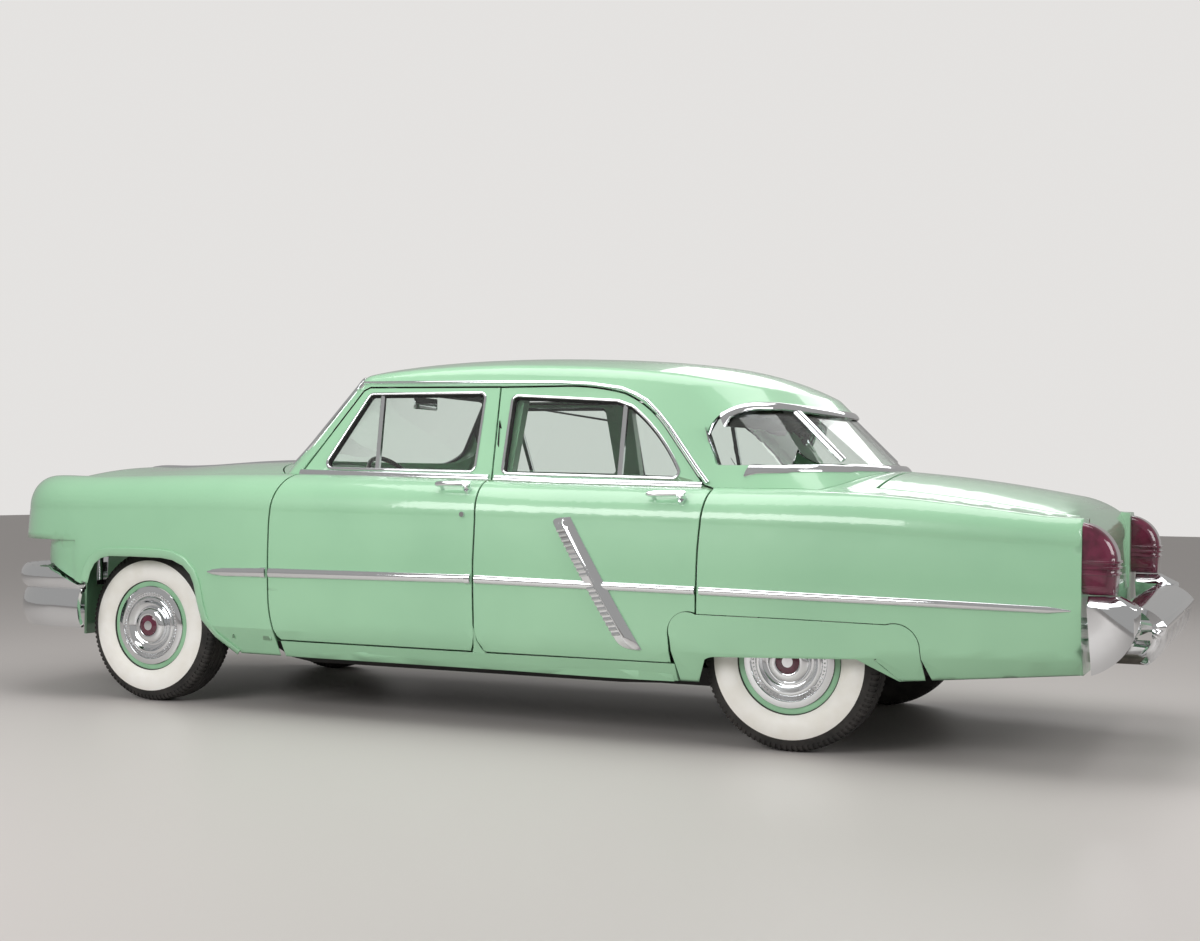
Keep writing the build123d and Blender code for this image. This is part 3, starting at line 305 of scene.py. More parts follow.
def on_wheels(name, build, *finishes, replace=None, crease=35):
    """One piece on each wheel. The left one is mirrored for the right side."""
    for end in ("front", "rear"):
        for side in ("left", "right"):
            bm = bmesh.new()
            build(bm)
            if side == "right":
                bmesh.ops.transform(bm, matrix=Matrix.Diagonal((1, -1, 1, 1)), verts=bm.verts)
                bmesh.ops.reverse_faces(bm, faces=bm.faces)
            outward = -1 if side == "left" else 1
            bmesh.ops.translate(bm, verts=bm.verts,
                                vec=hub_place[end] + Vector((0, outward * wheel_plane_y, 0)))
            piece = finish_mesh(bm, f"{name}_{end}_{side}", f"{end}_wheel_{side}_body", *finishes,
                                crease=crease)
            if replace:
                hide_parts(f"{replace}_{end}_{side}")


# Carcass rubber with carbon black, dull and slightly dusty in the tread
tyre_black, tree, shader, place = new_finish("tyre_rubber", "#2B2A29", 0.75)
clouded(tree, shader, place, 60, "#262524", "#3A3735")
ripple(tree, shader, place, 2.5, 0.2)
# White rubber layer of the side band, smooth from the mould
band_white, tree, shader, place = new_finish("white_rubber", "#F2F0EA", 0.5)
clouded(tree, shader, place, 90, "#EFECE4", "#F7F5F0")


def build_tyre(bm):
    """Balloon tyre: sidewalls, a white band that stands slightly proud, shoulders and three tread grooves."""
    side = [(0.1866, 0.0625), (0.2020, 0.0708), (0.2105, 0.0850), (0.2130, 0.0872), (0.2300, 0.0965),
            (0.2520, 0.1022), (0.2760, 0.1020), (0.3000, 0.0972), (0.3050, 0.0955), (0.3062, 0.0938),
            (0.3180, 0.0880), (0.3290, 0.0815), (0.3400, 0.0780), (0.3480, 0.0720)]
    tread = [(0.3525, 0.0640), (0.3535, 0.0480), (0.3470, 0.0470), (0.3470, 0.0430), (0.3542, 0.0420),
             (0.3548, 0.0200), (0.3480, 0.0190), (0.3480, 0.0150), (0.3550, 0.0140)]
    band_inner, band_outer = 0.2105, 0.3055
    shoulder_low, shoulder_high, shoulder_out = 0.330, 0.3530, 0.056
    half = side + tread
    spun(bm, half + [(radius, -out) for radius, out in reversed(half)], 2 * tread_notches, closed=True)
    notched = []
    for face in bm.faces:
        middle = face.calc_center_median()
        radius = math.hypot(middle.x, middle.z)
        turn = math.atan2(middle.z, middle.x) / math.tau * 2 * tread_notches
        face.material_index = 1 if middle.y < -0.07 and band_inner < radius < band_outer else 0
        if shoulder_low < radius < shoulder_high and abs(middle.y) > shoulder_out and math.floor(turn) % 2:
            notched.append(face)
    bmesh.ops.inset_region(bm, faces=notched, thickness=0.0006, depth=-0.0045, use_even_offset=False)


on_wheels("whitewall_tyre", build_tyre, tyre_black, band_white, replace="tyre", crease=28)

# Stove enamel on the pressed steel wheel, a little duller than the body
wheel_enamel, tree, shader, place = new_finish("wheel_enamel", "#8FBF99", 0.4, Coat_Weight=0.5,
                                               Coat_Roughness=0.15)
clouded(tree, shader, place, 120, "#88B892", "#97C8A1")
# Bright chromium plate over nickel: a clear mirror with faint wipe marks
chrome, tree, shader, place = new_finish("chromium_plate", "#E6E8EA", 0.06, 1.0)
clouded(tree, shader, place, 35, 0.035, 0.09, socket="Roughness")
# Moulded acrylic, deep maroon, coloured through and polished
maroon, tree, shader, place = new_finish("maroon_acrylic", "#5A1230", 0.12, Coat_Weight=1.0,
                                         Coat_Roughness=0.03)
clouded(tree, shader, place, 45, "#4E0E28", "#6A1A3A")


def build_rim(bm):
    """Drop-centre rim with its disc, from the inner flange round to the outer one."""
    spun(bm, [(0.1860, -0.0630), (0.2000, -0.0710), (0.2045, -0.0760), (0.2030, -0.0790), (0.1800, -0.0790),
              (0.1620, -0.0410), (0.1620, 0.0180), (0.0570, 0.0180), (0.0560, 0.0270), (0.1620, 0.0270),
              (0.1800, 0.0790), (0.2010, 0.0800), (0.2062, 0.0785), (0.2050, 0.0740), (0.2000, 0.0710),
              (0.1860, 0.0630), (0.1700, 0.0390), (0.1700, -0.0350)], 96, closed=True)


on_wheels("wheel_disc", build_rim, wheel_enamel, replace="wheel")


def build_cover(bm):
    """Bright cover: outer flange, step with its bead ring, bright ridge, dished bowl and centre dome."""
    spun(bm, [(0.1800, 0.0800), (0.1840, 0.0805), (0.1848, 0.0830), (0.1825, 0.0860), (0.1700, 0.0895),
              (0.1580, 0.0905), (0.1545, 0.0880), (0.1530, 0.0840), (0.1380, 0.0830), (0.1365, 0.0865),
              (0.1330, 0.0900), (0.1270, 0.0925), (0.1210, 0.0920), (0.1180, 0.0885), (0.1120, 0.0800),
              (0.1020, 0.0725), (0.0930, 0.0700), (0.0880, 0.0715), (0.0865, 0.0760), (0.0855, 0.0850),
              (0.0810, 0.0935), (0.0720, 0.0985), (0.0600, 0.1015), (0.0520, 0.1022), (0.0495, 0.1010),
              (0.0480, 0.0960), (0.0300, 0.0955), (0.0005, 0.0955)], 96)
    beads, bead_ring, bead_radius = 60, 0.1455, 0.0042
    for i in range(beads):
        turn = math.tau * i / beads
        spot = Vector((bead_ring * math.sin(turn), -0.0840, bead_ring * math.cos(turn)))
        bmesh.ops.create_icosphere(bm, subdivisions=1, radius=bead_radius, matrix=Matrix.Translation(spot))


on_wheels("wheel_cover", build_cover, chrome)


def build_centre(bm):
    """Plain domed maroon centre with a small bright boss in the middle."""
    boss_radius = 0.022
    spun(bm, [(0.0478, 0.0960), (0.0470, 0.0990), (0.0400, 0.1020), (0.0300, 0.1035), (0.0220, 0.1040),
              (0.0005, 0.1040)], 48)
    for face in bm.faces:
        middle = face.calc_center_median()
        face.material_index = 1 if math.hypot(middle.x, middle.z) < boss_radius else 0


on_wheels("cover_centre", build_centre, maroon, chrome)

# Bright trim: rolled stainless and chromed die-cast strips clipped to the panels along the sides,
# round the windows and under the greenhouse, in lengths that end at each door's gap.
outer_skin = bmesh.new()
for node in ("front_fender_left", "front_door_left", "rear_door_left", "rear_quarter_left", "roof", "hood",
             "cowl", "deck_panel", "nose_panel", "trunk_lid", "front_bumper"):
    outer_skin.from_mesh(sheets[node] if node in sheets else frame["nodes"][node].data)
outer_skin = BVHTree.FromBMesh(outer_skin)
glass_skin = bmesh.new()
glass_skin.from_mesh(frame["nodes"]["backlight"].data)
glass_skin = BVHTree.FromBMesh(glass_skin)


def on_side(x, z):
    """Place and outward direction of the left side's skin at a distance along the car and a height."""
    hit = outer_skin.ray_cast(Vector((x, -1.5, z)), Vector((0, 1, 0)))
    return hit[0], hit[1]


def steps(low, high, count):
    """Evenly spaced values from low to high, both included."""
    return [low + (high - low) * i / (count - 1) for i in range(count)]


def run(places, outs, closed=False, sizes=None):
    """Placings of an outline along a row of points, mitred at turns. Its X lies across, its Y outwards."""
    rows = []
    for i, spot in enumerate(places):
        before = spot - places[i - 1] if i or closed else places[1] - spot
        after = places[(i + 1) % len(places)] - spot if i < len(places) - 1 or closed else before
        along = before.normalized() + after.normalized()
        mitre = 1 / max(0.6, along.length / 2)
        along.normalize()
        wide, high = sizes[i] if sizes else (1, 1)
        across = along.cross(outs[i]).normalized()
        out = across.cross(along)
        turned = Matrix((across * wide * mitre, out * high, along)).transposed().to_4x4()
        rows.append(Matrix.Translation(spot) @ turned)
    return rows + rows[:1] if closed else rows


def drawn(bm, outline, rows):
    """Draws a closed outline along its placings, as a strip is rolled to shape, and closes its ends."""
    ring = [bm.verts.new(rows[0] @ Vector((x, y, 0))) for x, y in outline]
    start = edges = [bm.edges.new(pair) for pair in zip(ring, ring[1:] + ring[:1])]
    for before, after in zip(rows, rows[1:]):
        grown = bmesh.ops.extrude_edge_only(bm, edges=edges)["geom"]
        fresh = {g for g in grown if isinstance(g, bmesh.types.BMVert)}
        bmesh.ops.transform(bm, matrix=after @ before.inverted_safe(), verts=list(fresh))
        edges = [g for g in grown if isinstance(g, bmesh.types.BMEdge) and fresh.issuperset(g.verts)]
    if rows[0] != rows[-1]:
        for rim in (start, edges):
            bmesh.ops.contextual_create(bm, geom=rim)
    bmesh.ops.remove_doubles(bm, verts=bm.verts, dist=0.00002)
    bmesh.ops.recalc_face_normals(bm, faces=bm.faces)


def strip_outline(wide, high, ridge=1.0):
    """Outline of a raised strip, round on top, with its foot just under the surface."""
    half = [(0.5, -0.25), (0.5, 0.3), (0.42, 0.62), (0.28, 0.86), (0.12, 0.97 * ridge)]
    return [(x * wide, y * high) for x, y in half] + [(-x * wide, y * high) for x, y in reversed(half)]


def on_sides(name, body, build, *finishes, slot="bright_chrome", crease=40):
    """One piece on each side of the car. The left one is mirrored for the right side."""
    for side in ("left", "right"):
        bm = bmesh.new()
        build(bm)
        if side == "right":
            bmesh.ops.transform(bm, matrix=Matrix.Diagonal((1, -1, 1, 1)), verts=bm.verts)
            bmesh.ops.reverse_faces(bm, faces=bm.faces)
        finish_mesh(bm, f"{name}_{side}", body.format(side=side), *finishes, crease=crease)


door_front, door_split, door_back = -1.028, 0.004, 1.000
gap_half = 0.0045
spear_line = [(-1.367, 0.626), (-1.029, 0.633), (-0.024, 0.6395), (0.314, 0.635), (0.986, 0.627),
              (2.023, 0.611), (2.411, 0.603)]
spear_wide = [(-1.367, 0.006), (-1.335, 0.026), (-1.28, 0.038), (-1.029, 0.042), (-0.024, 0.037),
              (0.986, 0.034), (2.023, 0.030), (2.33, 0.026), (2.411, 0.005)]
for part, body, low, high in (
        ("fender", "body", -1.365, door_front - 0.008 - gap_half),
        ("front_door", "front_door_{side}_body", door_front + gap_half, door_split - 2 * gap_half),
        ("rear_door", "rear_door_{side}_body", door_split + 0.012, door_back - 0.008),
        ("quarter", "body", door_back + 0.012, 2.410)):

    def build_spear(bm):
        places, outs, sizes = [], [], []
        for x in sorted(set(steps(low, high, 22) + [x for x, wide in spear_wide if low < x < high])):
            spot, out = on_side(x, between(spear_line, x))
            wide = between(spear_wide, x)
            places.append(spot)
            outs.append(out)
            sizes.append((wide, min(1, wide / 0.03) * 0.0125))
        drawn(bm, strip_outline(1, 1, 1.08), run(places, outs, sizes=sizes))
        if part in ("fender", "front_door"):
            places, outs = zip(*[on_side(x, between(spear_line, x)) for x in (high - 0.026, high - 0.001)])
            wide = between(spear_wide, high)
            drawn(bm, strip_outline(wide + 0.005, 0.0155), run(places, outs))

    on_sides("spear_" + part, body, build_spear, chrome)

# The moulding under the windows covers the joint between the lower body and the greenhouse
belt_line = [(-0.985, 1.079), (-0.012, 1.0605), (0.326, 1.048), (0.980, 1.037)]
window_out = Vector((0, -0.94, 0.34))


def window_plane(x, z, depth):
    """Place in a left side window's plane, at a depth behind the greenhouse's skin."""
    return Vector((x, -(0.822 - 0.36 * (z - 1.0)) + depth, z))


for part, low, high in (("front_door", -0.975, door_split - 0.016), ("rear_door", door_split + 0.014, 0.962)):

    def build_belt(bm):
        places = [window_plane(x, between(belt_line, x), 0.002) for x in steps(low, high, 18)]
        drawn(bm, [(0.019, -0.02), (0.019, 0.006), (0.014, 0.0125), (0.005, 0.015), (-0.006, 0.014),
                   (-0.013, 0.009), (-0.016, 0.003), (-0.016, -0.01)], run(places, [window_out] * len(places)))

    on_sides("belt_" + part, part + "_{side}_body", build_belt, chrome)

# Rain gutter: a folded steel lip over the doors with a bright cover, from the windscreen pillar to the belt
gutter_line = [(-0.758, 1.462), (-0.743, 1.486), (-0.40, 1.4835), (-0.042, 1.4795), (0.250, 1.4735),
               (0.40, 1.464), (0.544, 1.443), (0.610, 1.418), (0.668, 1.388), (0.730, 1.334), (0.789, 1.273),
               (0.840, 1.213), (0.890, 1.155), (0.940, 1.097), (0.985, 1.048)]


def build_gutter(bm):
    places, outs = zip(*[on_side(x, z) for x, z in gutter_line])
    drawn(bm, [(0.008, -0.004), (0.008, 0.007), (0.005, 0.0115), (0, 0.0125), (-0.005, 0.0105), (-0.008, 0.006),
               (-0.008, -0.004)], run(places, outs))


on_sides("gutter", "body", build_gutter, chrome)

# Moulded rubber that seals the glass, black and dull
seal_rubber, tree, shader, place = new_finish("seal_rubber", "#1C1B1A", 0.7)
clouded(tree, shader, place, 40, "#191817", "#262423")
# Clear plate glass with the faint green of its edge
glass, tree, shader, place = new_finish("window_plate_glass", "#F1F8F4", 0.0, Transmission_Weight=1.0, IOR=1.5)
clouded(tree, shader, place, 300, 0.0, 0.01, socket="Roughness")
for node in ("windscreen", "backlight", "front_door_glass_left", "front_door_glass_right",
             "rear_door_glass_left", "rear_door_glass_right"):
    coat(node, glass)


def openings(node, centre, wanted):
    """Rows of points round those openings of a node's skin that pass a test, each with the skin's direction."""
    bm = bmesh.new()
    bm.from_mesh(sheets[node])
    bmesh.ops.remove_doubles(bm, verts=bm.verts, dist=0.00005)
    bm.normal_update()
    ways = {}
    for edge in bm.edges:
        if len(edge.link_faces) == 2:
            outward = ((edge.verts[0].co + edge.verts[1].co) / 2 - centre).normalized()
            facing = [face for face in edge.link_faces if face.normal.dot(outward) > 0.45]
            if len(facing) == 1 and edge.calc_face_angle() > 0.5:
                for a, b in (edge.verts, reversed(edge.verts)):
                    ways.setdefault(a, []).append((b, facing[0].normal.copy()))
    found = []
    while ways:
        here = start = next(iter(ways))
        row = []
        while here in ways:
            exits = ways.pop(here)
            row.append((here.co.copy(), sum((normal for spot, normal in exits), Vector()).normalized()))
            onward = [spot for spot, normal in exits if spot in ways]
            here = onward[0] if onward else start
        if len(row) > 3 and wanted([spot for spot, out in row]):
            found.append(row)
    bm.free()
    return found


def spaced(row, least):
    """A closed row without points closer together than a distance."""
    kept = [row[0]]
    for spot, out in row[1:]:
        if (spot - kept[-1][0]).length > least and (spot - row[0][0]).length > least * 0.5:
            kept.append((spot, out))
    return kept


def edging(bm, row, outline, least=0.006):
    """Draws an outline round an opening. Its X points away from the opening."""
    row = spaced(row, least)
    middle = sum((spot for spot, out in row), Vector()) / len(row)
    rows = run([spot for spot, out in row], [out for spot, out in row], closed=True)
    inwards = sum((placing.to_3x3() @ Vector((1, 0, 0))).dot(placing.translation - middle) for placing in rows)
    if inwards < 0:
        row.reverse()
        rows = run([spot for spot, out in row], [out for spot, out in row], closed=True)
    drawn(bm, outline, rows)


for end, middle_x in (("front", 0), ("rear", 0.4)):
    for side in ("left", "right"):
        rows = openings(f"{end}_door_{side}", Vector((middle_x, 0, 1.25)),
                        lambda spots: min(s.z for s in spots) > 1.055 and max(abs(s.y) for s in spots) < 0.82)
        bm = bmesh.new()
        for row in rows:
            edging(bm, row, [(-0.002, -0.006), (0.009, -0.002), (0.009, 0.0035), (0.006, 0.0055),
                             (0.001, 0.0055), (-0.002, 0.003)])
        finish_mesh(bm, f"window_edging_{end}_{side}", f"{end}_door_{side}_body", chrome, crease=40)
        bm = bmesh.new()
        for row in rows:
            edging(bm, row, [(-0.009, -0.024), (0.0005, -0.024), (0.0005, -0.003), (-0.0022, -0.003),
                             (-0.006, -0.010)])
        finish_mesh(bm, f"window_seal_{end}_{side}", f"{end}_door_{side}_body", seal_rubber, crease=40)
cab_middle = Vector((0.1, 0, 1.15))
for name, wanted in (
        ("windscreen", lambda spots: max(s.x for s in spots) < -0.6 and min(s.z for s in spots) > 1.1),
        ("backlight", lambda spots: min(s.x for s in spots) > 0.85 and min(s.z for s in spots) > 1.09)):
    rows = openings("roof", cab_middle, wanted)
    bm = bmesh.new()
    for row in rows:
        edging(bm, row, [(-0.004, -0.012), (0.038, -0.006), (0.038, 0.002), (0.034, 0.006), (0.022, 0.0085),
                         (0.010, 0.0080), (0.001, 0.005), (-0.004, -0.002)], 0.012)
    finish_mesh(bm, name + "_surround", "body", chrome, crease=40)
    bm = bmesh.new()
    for row in rows:
        edging(bm, row, [(-0.012, -0.028), (0.0005, -0.028), (0.0005, -0.010), (-0.004, -0.006),
                         (-0.010, -0.014)], 0.012)
    finish_mesh(bm, name + "_seal", "body", seal_rubber, crease=40)

# Bumpers and grille: heavy bars and prow ends pressed from thick steel, ground, polished and chromed.
# They are bolted to the frame's ends, and the grille to the nose panel behind the front one.
for node in ("front_bumper", "rear_bumper", "grille"):
    panel_of(node, chrome, slot="bright_chrome", crease=38)

# Lamps: round moulded glass lenses in chromed rims let into the fenders at the front, and domes
# of maroon plastic screwed to the tail of each rear quarter.
lens_radius, lens_y, lens_z = 0.084, 0.640, 0.862
lens_glass, tree, shader, place = new_finish("lamp_glass", "#E9EEF0", 0.08, Transmission_Weight=0.6, IOR=1.5)
clouded(tree, shader, place, 20, 0.05, 0.2, socket="Roughness")
panel_of("tail_lamps", maroon, slot="red_lens", crease=30)
panel_of("headlamps", chrome, lens_glass, slot="lamp_glass", crease=30,
         inside=lambda f: math.hypot(abs(f.calc_center_median().y) - lens_y,
                                     f.calc_center_median().z - lens_z) < lens_radius)

# Running gear: a welded box frame with its axles and radiator painted black, a pipe and silencer of
# coated steel, and a cast iron engine in dark green enamel on the frame's front cross member.
iron_green, tree, shader, place = new_finish("engine_enamel", "#3C4A40", 0.5)
clouded(tree, shader, place, 90, "#36443A", "#465548")
exhaust_steel, tree, shader, place = new_finish("aluminised_steel", "#6E6A64", 0.5, 0.7)
clouded(tree, shader, place, 60, "#5E5A54", "#7C776F")
for node in ("chassis_frame", "front_suspension", "knuckle_left", "knuckle_right", "rear_axle", "radiator"):
    panel_of(node, chassis_black, slot="chassis_steel", crease=30)
panel_of("engine", iron_green, slot="engine_iron", crease=30)
panel_of("exhaust", exhaust_steel, slot="chassis_steel", crease=30)

# Cabin fittings: the instrument panel is pressed steel, painted with the body and screwed to the cowl.
# The steering wheel is brown plastic moulded over a steel core, on its column.
brown_plastic, tree, shader, place = new_finish("brown_plastic", "#33201A", 0.25, Coat_Weight=0.4)
clouded(tree, shader, place, 50, "#2C1B16", "#3B261F")
panel_of("instrument_panel", enamel)
panel_of("steering_wheel", brown_plastic, slot="dark_plastic", crease=30)

# Ornament on each rear door: one chromed die-casting, ribbed in front of its ridge and plain behind it.
# The long side moulding runs over it, and a small lip is cast on under the moulding.
louver_top, louver_foot = Vector((0.365, 0, 0.893)), Vector((0.674, 0, 0.378))
louver_across = Vector((0.088, 0, 0.006))


def louver_spot(down, over):
    """Place and outward direction on the rear door's skin, down the ornament and over from its front edge."""
    spot = louver_top.lerp(louver_foot, down) + louver_across * over
    return on_side(spot.x, spot.z)


def build_louver(bm):
    rows = []
    for down, over in ((-0.012, 0.42), (-0.004, 0.18), (0.012, 0.04), (0.04, 0),
                       *[(t, 0) for t in steps(0.08, 0.90, 22)],
                       (0.93, 0.01), (0.96, 0.06), (0.98, 0.17), (0.992, 0.34), (1.0, 0.6)):
        (front, out), (rear, out_rear) = louver_spot(down, over), louver_spot(down, 1)
        high = min(1, (down + 0.03) / 0.07, (1.04 - down) / 0.1)
        across = rear - front
        along = across.cross(out).normalized()
        turned = Matrix((across, (out + out_rear) / 2 * high, -along)).transposed().to_4x4()
        rows.append(Matrix.Translation((front + rear) / 2) @ turned)
    drawn(bm, [(-0.5, -0.006), (-0.5, 0.006), (-0.46, 0.009), (-0.05, 0.014), (-0.02, 0.020), (0.02, 0.0235),
               (0.06, 0.0235), (0.44, 0.010), (0.5, 0.006), (0.5, -0.006)], rows)
    for down in steps(0.085, 0.43, 10) + steps(0.535, 0.88, 10):
        (front, out), (rear, out_rear) = louver_spot(down, 0.035), louver_spot(down - 0.006, 0.47)
        drawn(bm, [(-0.0075, 0), (-0.0065, 0.004), (0.001, 0.0065), (0.0075, 0.002), (0.0075, 0)],
              run([front + out * 0.0075, rear + out_rear * 0.0135], [out, out_rear]))


on_sides("door_ornament", "rear_door_{side}_body", build_louver, chrome, crease=28)

# Door handles: die-cast pull blades, chromed, on a round boss with a push button under it, fixed from
# inside the door. The front doors have a lock barrel below the handle.


def peg(bm, spot, out, low, high, radius, tip, segments=24):
    """A round peg that stands on the skin, from the distances of its foot and tip outwards and their radii."""
    turned = out.to_track_quat("Z", "Y").to_matrix().to_4x4()
    bmesh.ops.create_cone(bm, cap_ends=True, segments=segments, radius1=radius, radius2=tip, depth=high - low,
                          matrix=Matrix.Translation(spot + out * (low + high) / 2) @ turned)


for end, low, high, z in (("front", -0.190, -0.030, 1.012), ("rear", 0.782, 0.940, 0.983)):

    def build_handle(bm):
        boss, out = on_side(high - 0.018, z)
        for start, deep, radius in ((-0.004, 0.030, 0.019), (0.030, 0.036, 0.0165)):
            peg(bm, boss, out, start, deep, radius, radius * 0.93, 28)
        peg(bm, boss + Vector((0.002, 0, -0.020)), out, -0.001, 0.029, 0.0135, 0.0125)
        foot, out_foot = on_side(low + 0.022, z)
        peg(bm, foot, out_foot, -0.003, 0.027, 0.0085, 0.0075, 20)
        places, outs, sizes = [], [], []
        for x, lift, wide in ((low - 0.004, 0.020, 0.012), (low, 0.026, 0.019), (low + 0.010, 0.029, 0.024),
                              (low + 0.050, 0.031, 0.026), (high - 0.05, 0.031, 0.027),
                              (high - 0.015, 0.030, 0.028), (high - 0.003, 0.028, 0.022),
                              (high + 0.001, 0.027, 0.012)):
            spot, out = on_side(x, z + 0.003)
            places.append(spot + out * lift)
            outs.append(out)
            sizes.append((wide, 1))
        drawn(bm, [(0.5, -0.0045), (0.5, 0.002), (0.36, 0.0065), (0, 0.0085), (-0.36, 0.0065), (-0.5, 0.002),
                   (-0.5, -0.0045)], run(places, outs, sizes=sizes))

    on_sides(f"door_handle_{end}", end + "_door_{side}_body", build_handle, chrome, crease=32)


def build_lock(bm):
    peg(bm, *on_side(-0.052, 0.908), -0.002, 0.008, 0.0135, 0.011)


on_sides("door_lock", "front_door_{side}_body", build_lock, chrome)

# Window division bars: channels rolled from stainless strip, with the vent pane on one side and the
# pane that winds down on the other. Each is screwed to its door's frame at the top and the foot.
for end, top, foot in (("front", (-0.632, 1.434), (-0.586, 1.099)), ("rear", (0.567, 1.392), (0.589, 1.075))):

    def build_bar(bm):
        places = [window_plane(*top, 0.012), window_plane(*foot, 0.012)]
        drawn(bm, [(0.010, -0.016), (0.010, 0.002), (0.006, 0.005), (-0.006, 0.005), (-0.010, 0.002),
                   (-0.010, -0.016)], run(places, [window_out] * 2))

    on_sides(f"window_bar_{end}", end + "_door_{side}_body", build_bar, chrome)

# Lip round the front wheel openings: the fender's own steel, rolled outwards at its edge and painted
# with it. It runs from behind the bumper over the wheel and back along the foot of the fender.
arch_middle = Vector((-1.76, 0, 0.38))
arch_lip = [(-2.084, 0.562), (-2.061, 0.616), (-2.031, 0.662), (-1.986, 0.700), (-1.93, 0.711), (-1.80, 0.713),
            (-1.63, 0.711), (-1.56, 0.702), (-1.492, 0.674), (-1.443, 0.628), (-1.419, 0.578), (-1.404, 0.494),
            (-1.384, 0.418), (-1.359, 0.345), (-1.338, 0.308), (-1.300, 0.278), (-1.245, 0.266)]


def build_lip(bm):
    places, outs = [], []
    for x, z in arch_lip:
        for grown in steps(1.0, 1.12, 41):
            aim = arch_middle.lerp(Vector((x, 0, z)), grown)
            spot, out = on_side(aim.x, aim.z)
            if spot:
                places.append(spot)
                outs.append(out)
                break
    drawn(bm, [(0.030, -0.004), (0.026, 0.001), (0.014, 0.006), (0.002, 0.0095), (-0.007, 0.0095),
               (-0.0105, 0.006), (-0.0105, -0.006)], run(places, outs))


on_sides("arch_lip", "body", build_lip, enamel, slot="body_paint")

# Backlight dividers, hood strip and the mirror: chromed strips screwed over the joints between the
# backlight's panes and along the middle of the hood, and a chromed mirror hung over the windscreen.
for side, sign in (("left", -1), ("right", 1)):
    bm = bmesh.new()
    places, outs = [], []
    for t in steps(0, 1, 9):
        y = sign * (0.455 - 0.02 * t)
        aim = Vector((1.62 - 0.42 * t, y, 1.118 + 0.272 * t))
        hit = glass_skin.ray_cast(aim + Vector((0.6, 0, 0.35)), Vector((-0.86, 0, -0.5)))
        if hit[0]:
            places.append(hit[0])
            outs.append(Vector((0.66, sign * 0.2, 0.72)).normalized())
    drawn(bm, [(0.017, -0.008), (0.017, 0.012), (0.012, 0.0165), (0.004, 0.0165), (0.0025, 0.012),
               (-0.0025, 0.012), (-0.004, 0.0165), (-0.012, 0.0165), (-0.017, 0.012), (-0.017, -0.008)],
          run(places, outs))
    finish_mesh(bm, f"backlight_divider_{side}", "body", chrome, crease=40)

bm = bmesh.new()
places, outs = [], []
for x in steps(-2.595, -1.475, 26):
    hit = outer_skin.ray_cast(Vector((x, 0, 1.6)), Vector((0, 0, -1)))
    places.append(hit[0])
    outs.append(hit[1])
drawn(bm, strip_outline(0.020, 0.011), run(places, outs))
finish_mesh(bm, "hood_strip", "hood_body", chrome, crease=40)

bm = bmesh.new()
box(bm, (-0.804, -0.105, 1.396), (-0.786, 0.105, 1.454))
bmesh.ops.bevel(bm, geom=bm.edges[:], offset=0.007, segments=3, affect="EDGES", profile=0.5, material=-1)
bmesh.ops.create_cone(bm, cap_ends=True, segments=16, radius1=0.006, radius2=0.006, depth=0.09,
                      matrix=Matrix.Translation((-0.80, 0, 1.482)))
finish_mesh(bm, "cabin_mirror", "body", chrome, crease=40)

# Rockers: the pressed sills under the doors, flush with the doors, and the foot of each centre pillar,
# which widens downwards between the doors' round lower corners. Both are painted with the body.
rocker_top = 0.3285
rocker_foot = 0.257


def block(bm, ring, way):
    """A closed solid from a flat ring of points, drawn out along a way."""
    points = [bm.verts.new(spot) for spot in ring]
    grown = bmesh.ops.extrude_face_region(bm, geom=[bm.faces.new(points)])["geom"]
    bmesh.ops.translate(bm, vec=way, verts=[g for g in grown if isinstance(g, bmesh.types.BMVert)])
    bmesh.ops.recalc_face_normals(bm, faces=bm.faces)


def build_rocker(bm):
    places = [Vector((x, -between(foot_half, x), between(foot_line, x))) for x in steps(-0.988, 0.893, 24)]
    rise = rocker_top - rocker_foot
    sideways = Matrix(((0, 0, -1), (0, -1, 0), (1, 0, 0))).transposed().to_4x4()
    drawn(bm, [(0.001, -0.05), (0.001, -0.003), (-0.003, 0.0015), (-rise * 0.5, 0.0015 + rise * 0.289),
               (-rise, 0.0015 + rise * 0.577), (-rise, rise * 0.577 - 0.02)],
          [Matrix.Translation(spot) @ sideways for spot in places])
    flank = [(rocker_foot, 0.880), (0.38, 0.948), (0.45, 0.958)]
    block(bm, [(x, -between(flank, z), z)
               for x, z in ((0.0045, 0.435), (0.002, 0.385), (-0.006, 0.350), (-0.017, rocker_top),
                            (0.046, rocker_top), (0.028, 0.352), (0.016, 0.385), (0.008, 0.435))],
          (0, 0.015, 0))


on_sides("rocker", "body", build_rocker, enamel, slot="body_paint")

# Bench seats: sprung cushions and backs, padded with cotton and covered in woven cloth, on painted
# steel frames bolted to the floor. A cloth simulation with inside pressure swells the covers, all
# four in one pass, and the channels are sewn in after it.
seat_cloth, tree, shader, place = new_finish("woven_seat_cloth", "#86A88B", 0.92, Sheen_Weight=0.3)
clouded(tree, shader, place, 180, "#80A286", "#8EB093")
thread = add_node(tree, "ShaderNodeTexBrick", {"Vector": place, "Scale": 1000 / 6, "Mortar Size": 0.04})
weave = add_node(tree, "ShaderNodeBump", {"Height": thread.outputs["Fac"], "Distance": 0.0004, "Strength": 0.6})
tree.links.new(weave.outputs["Normal"], shader.inputs["Normal"])

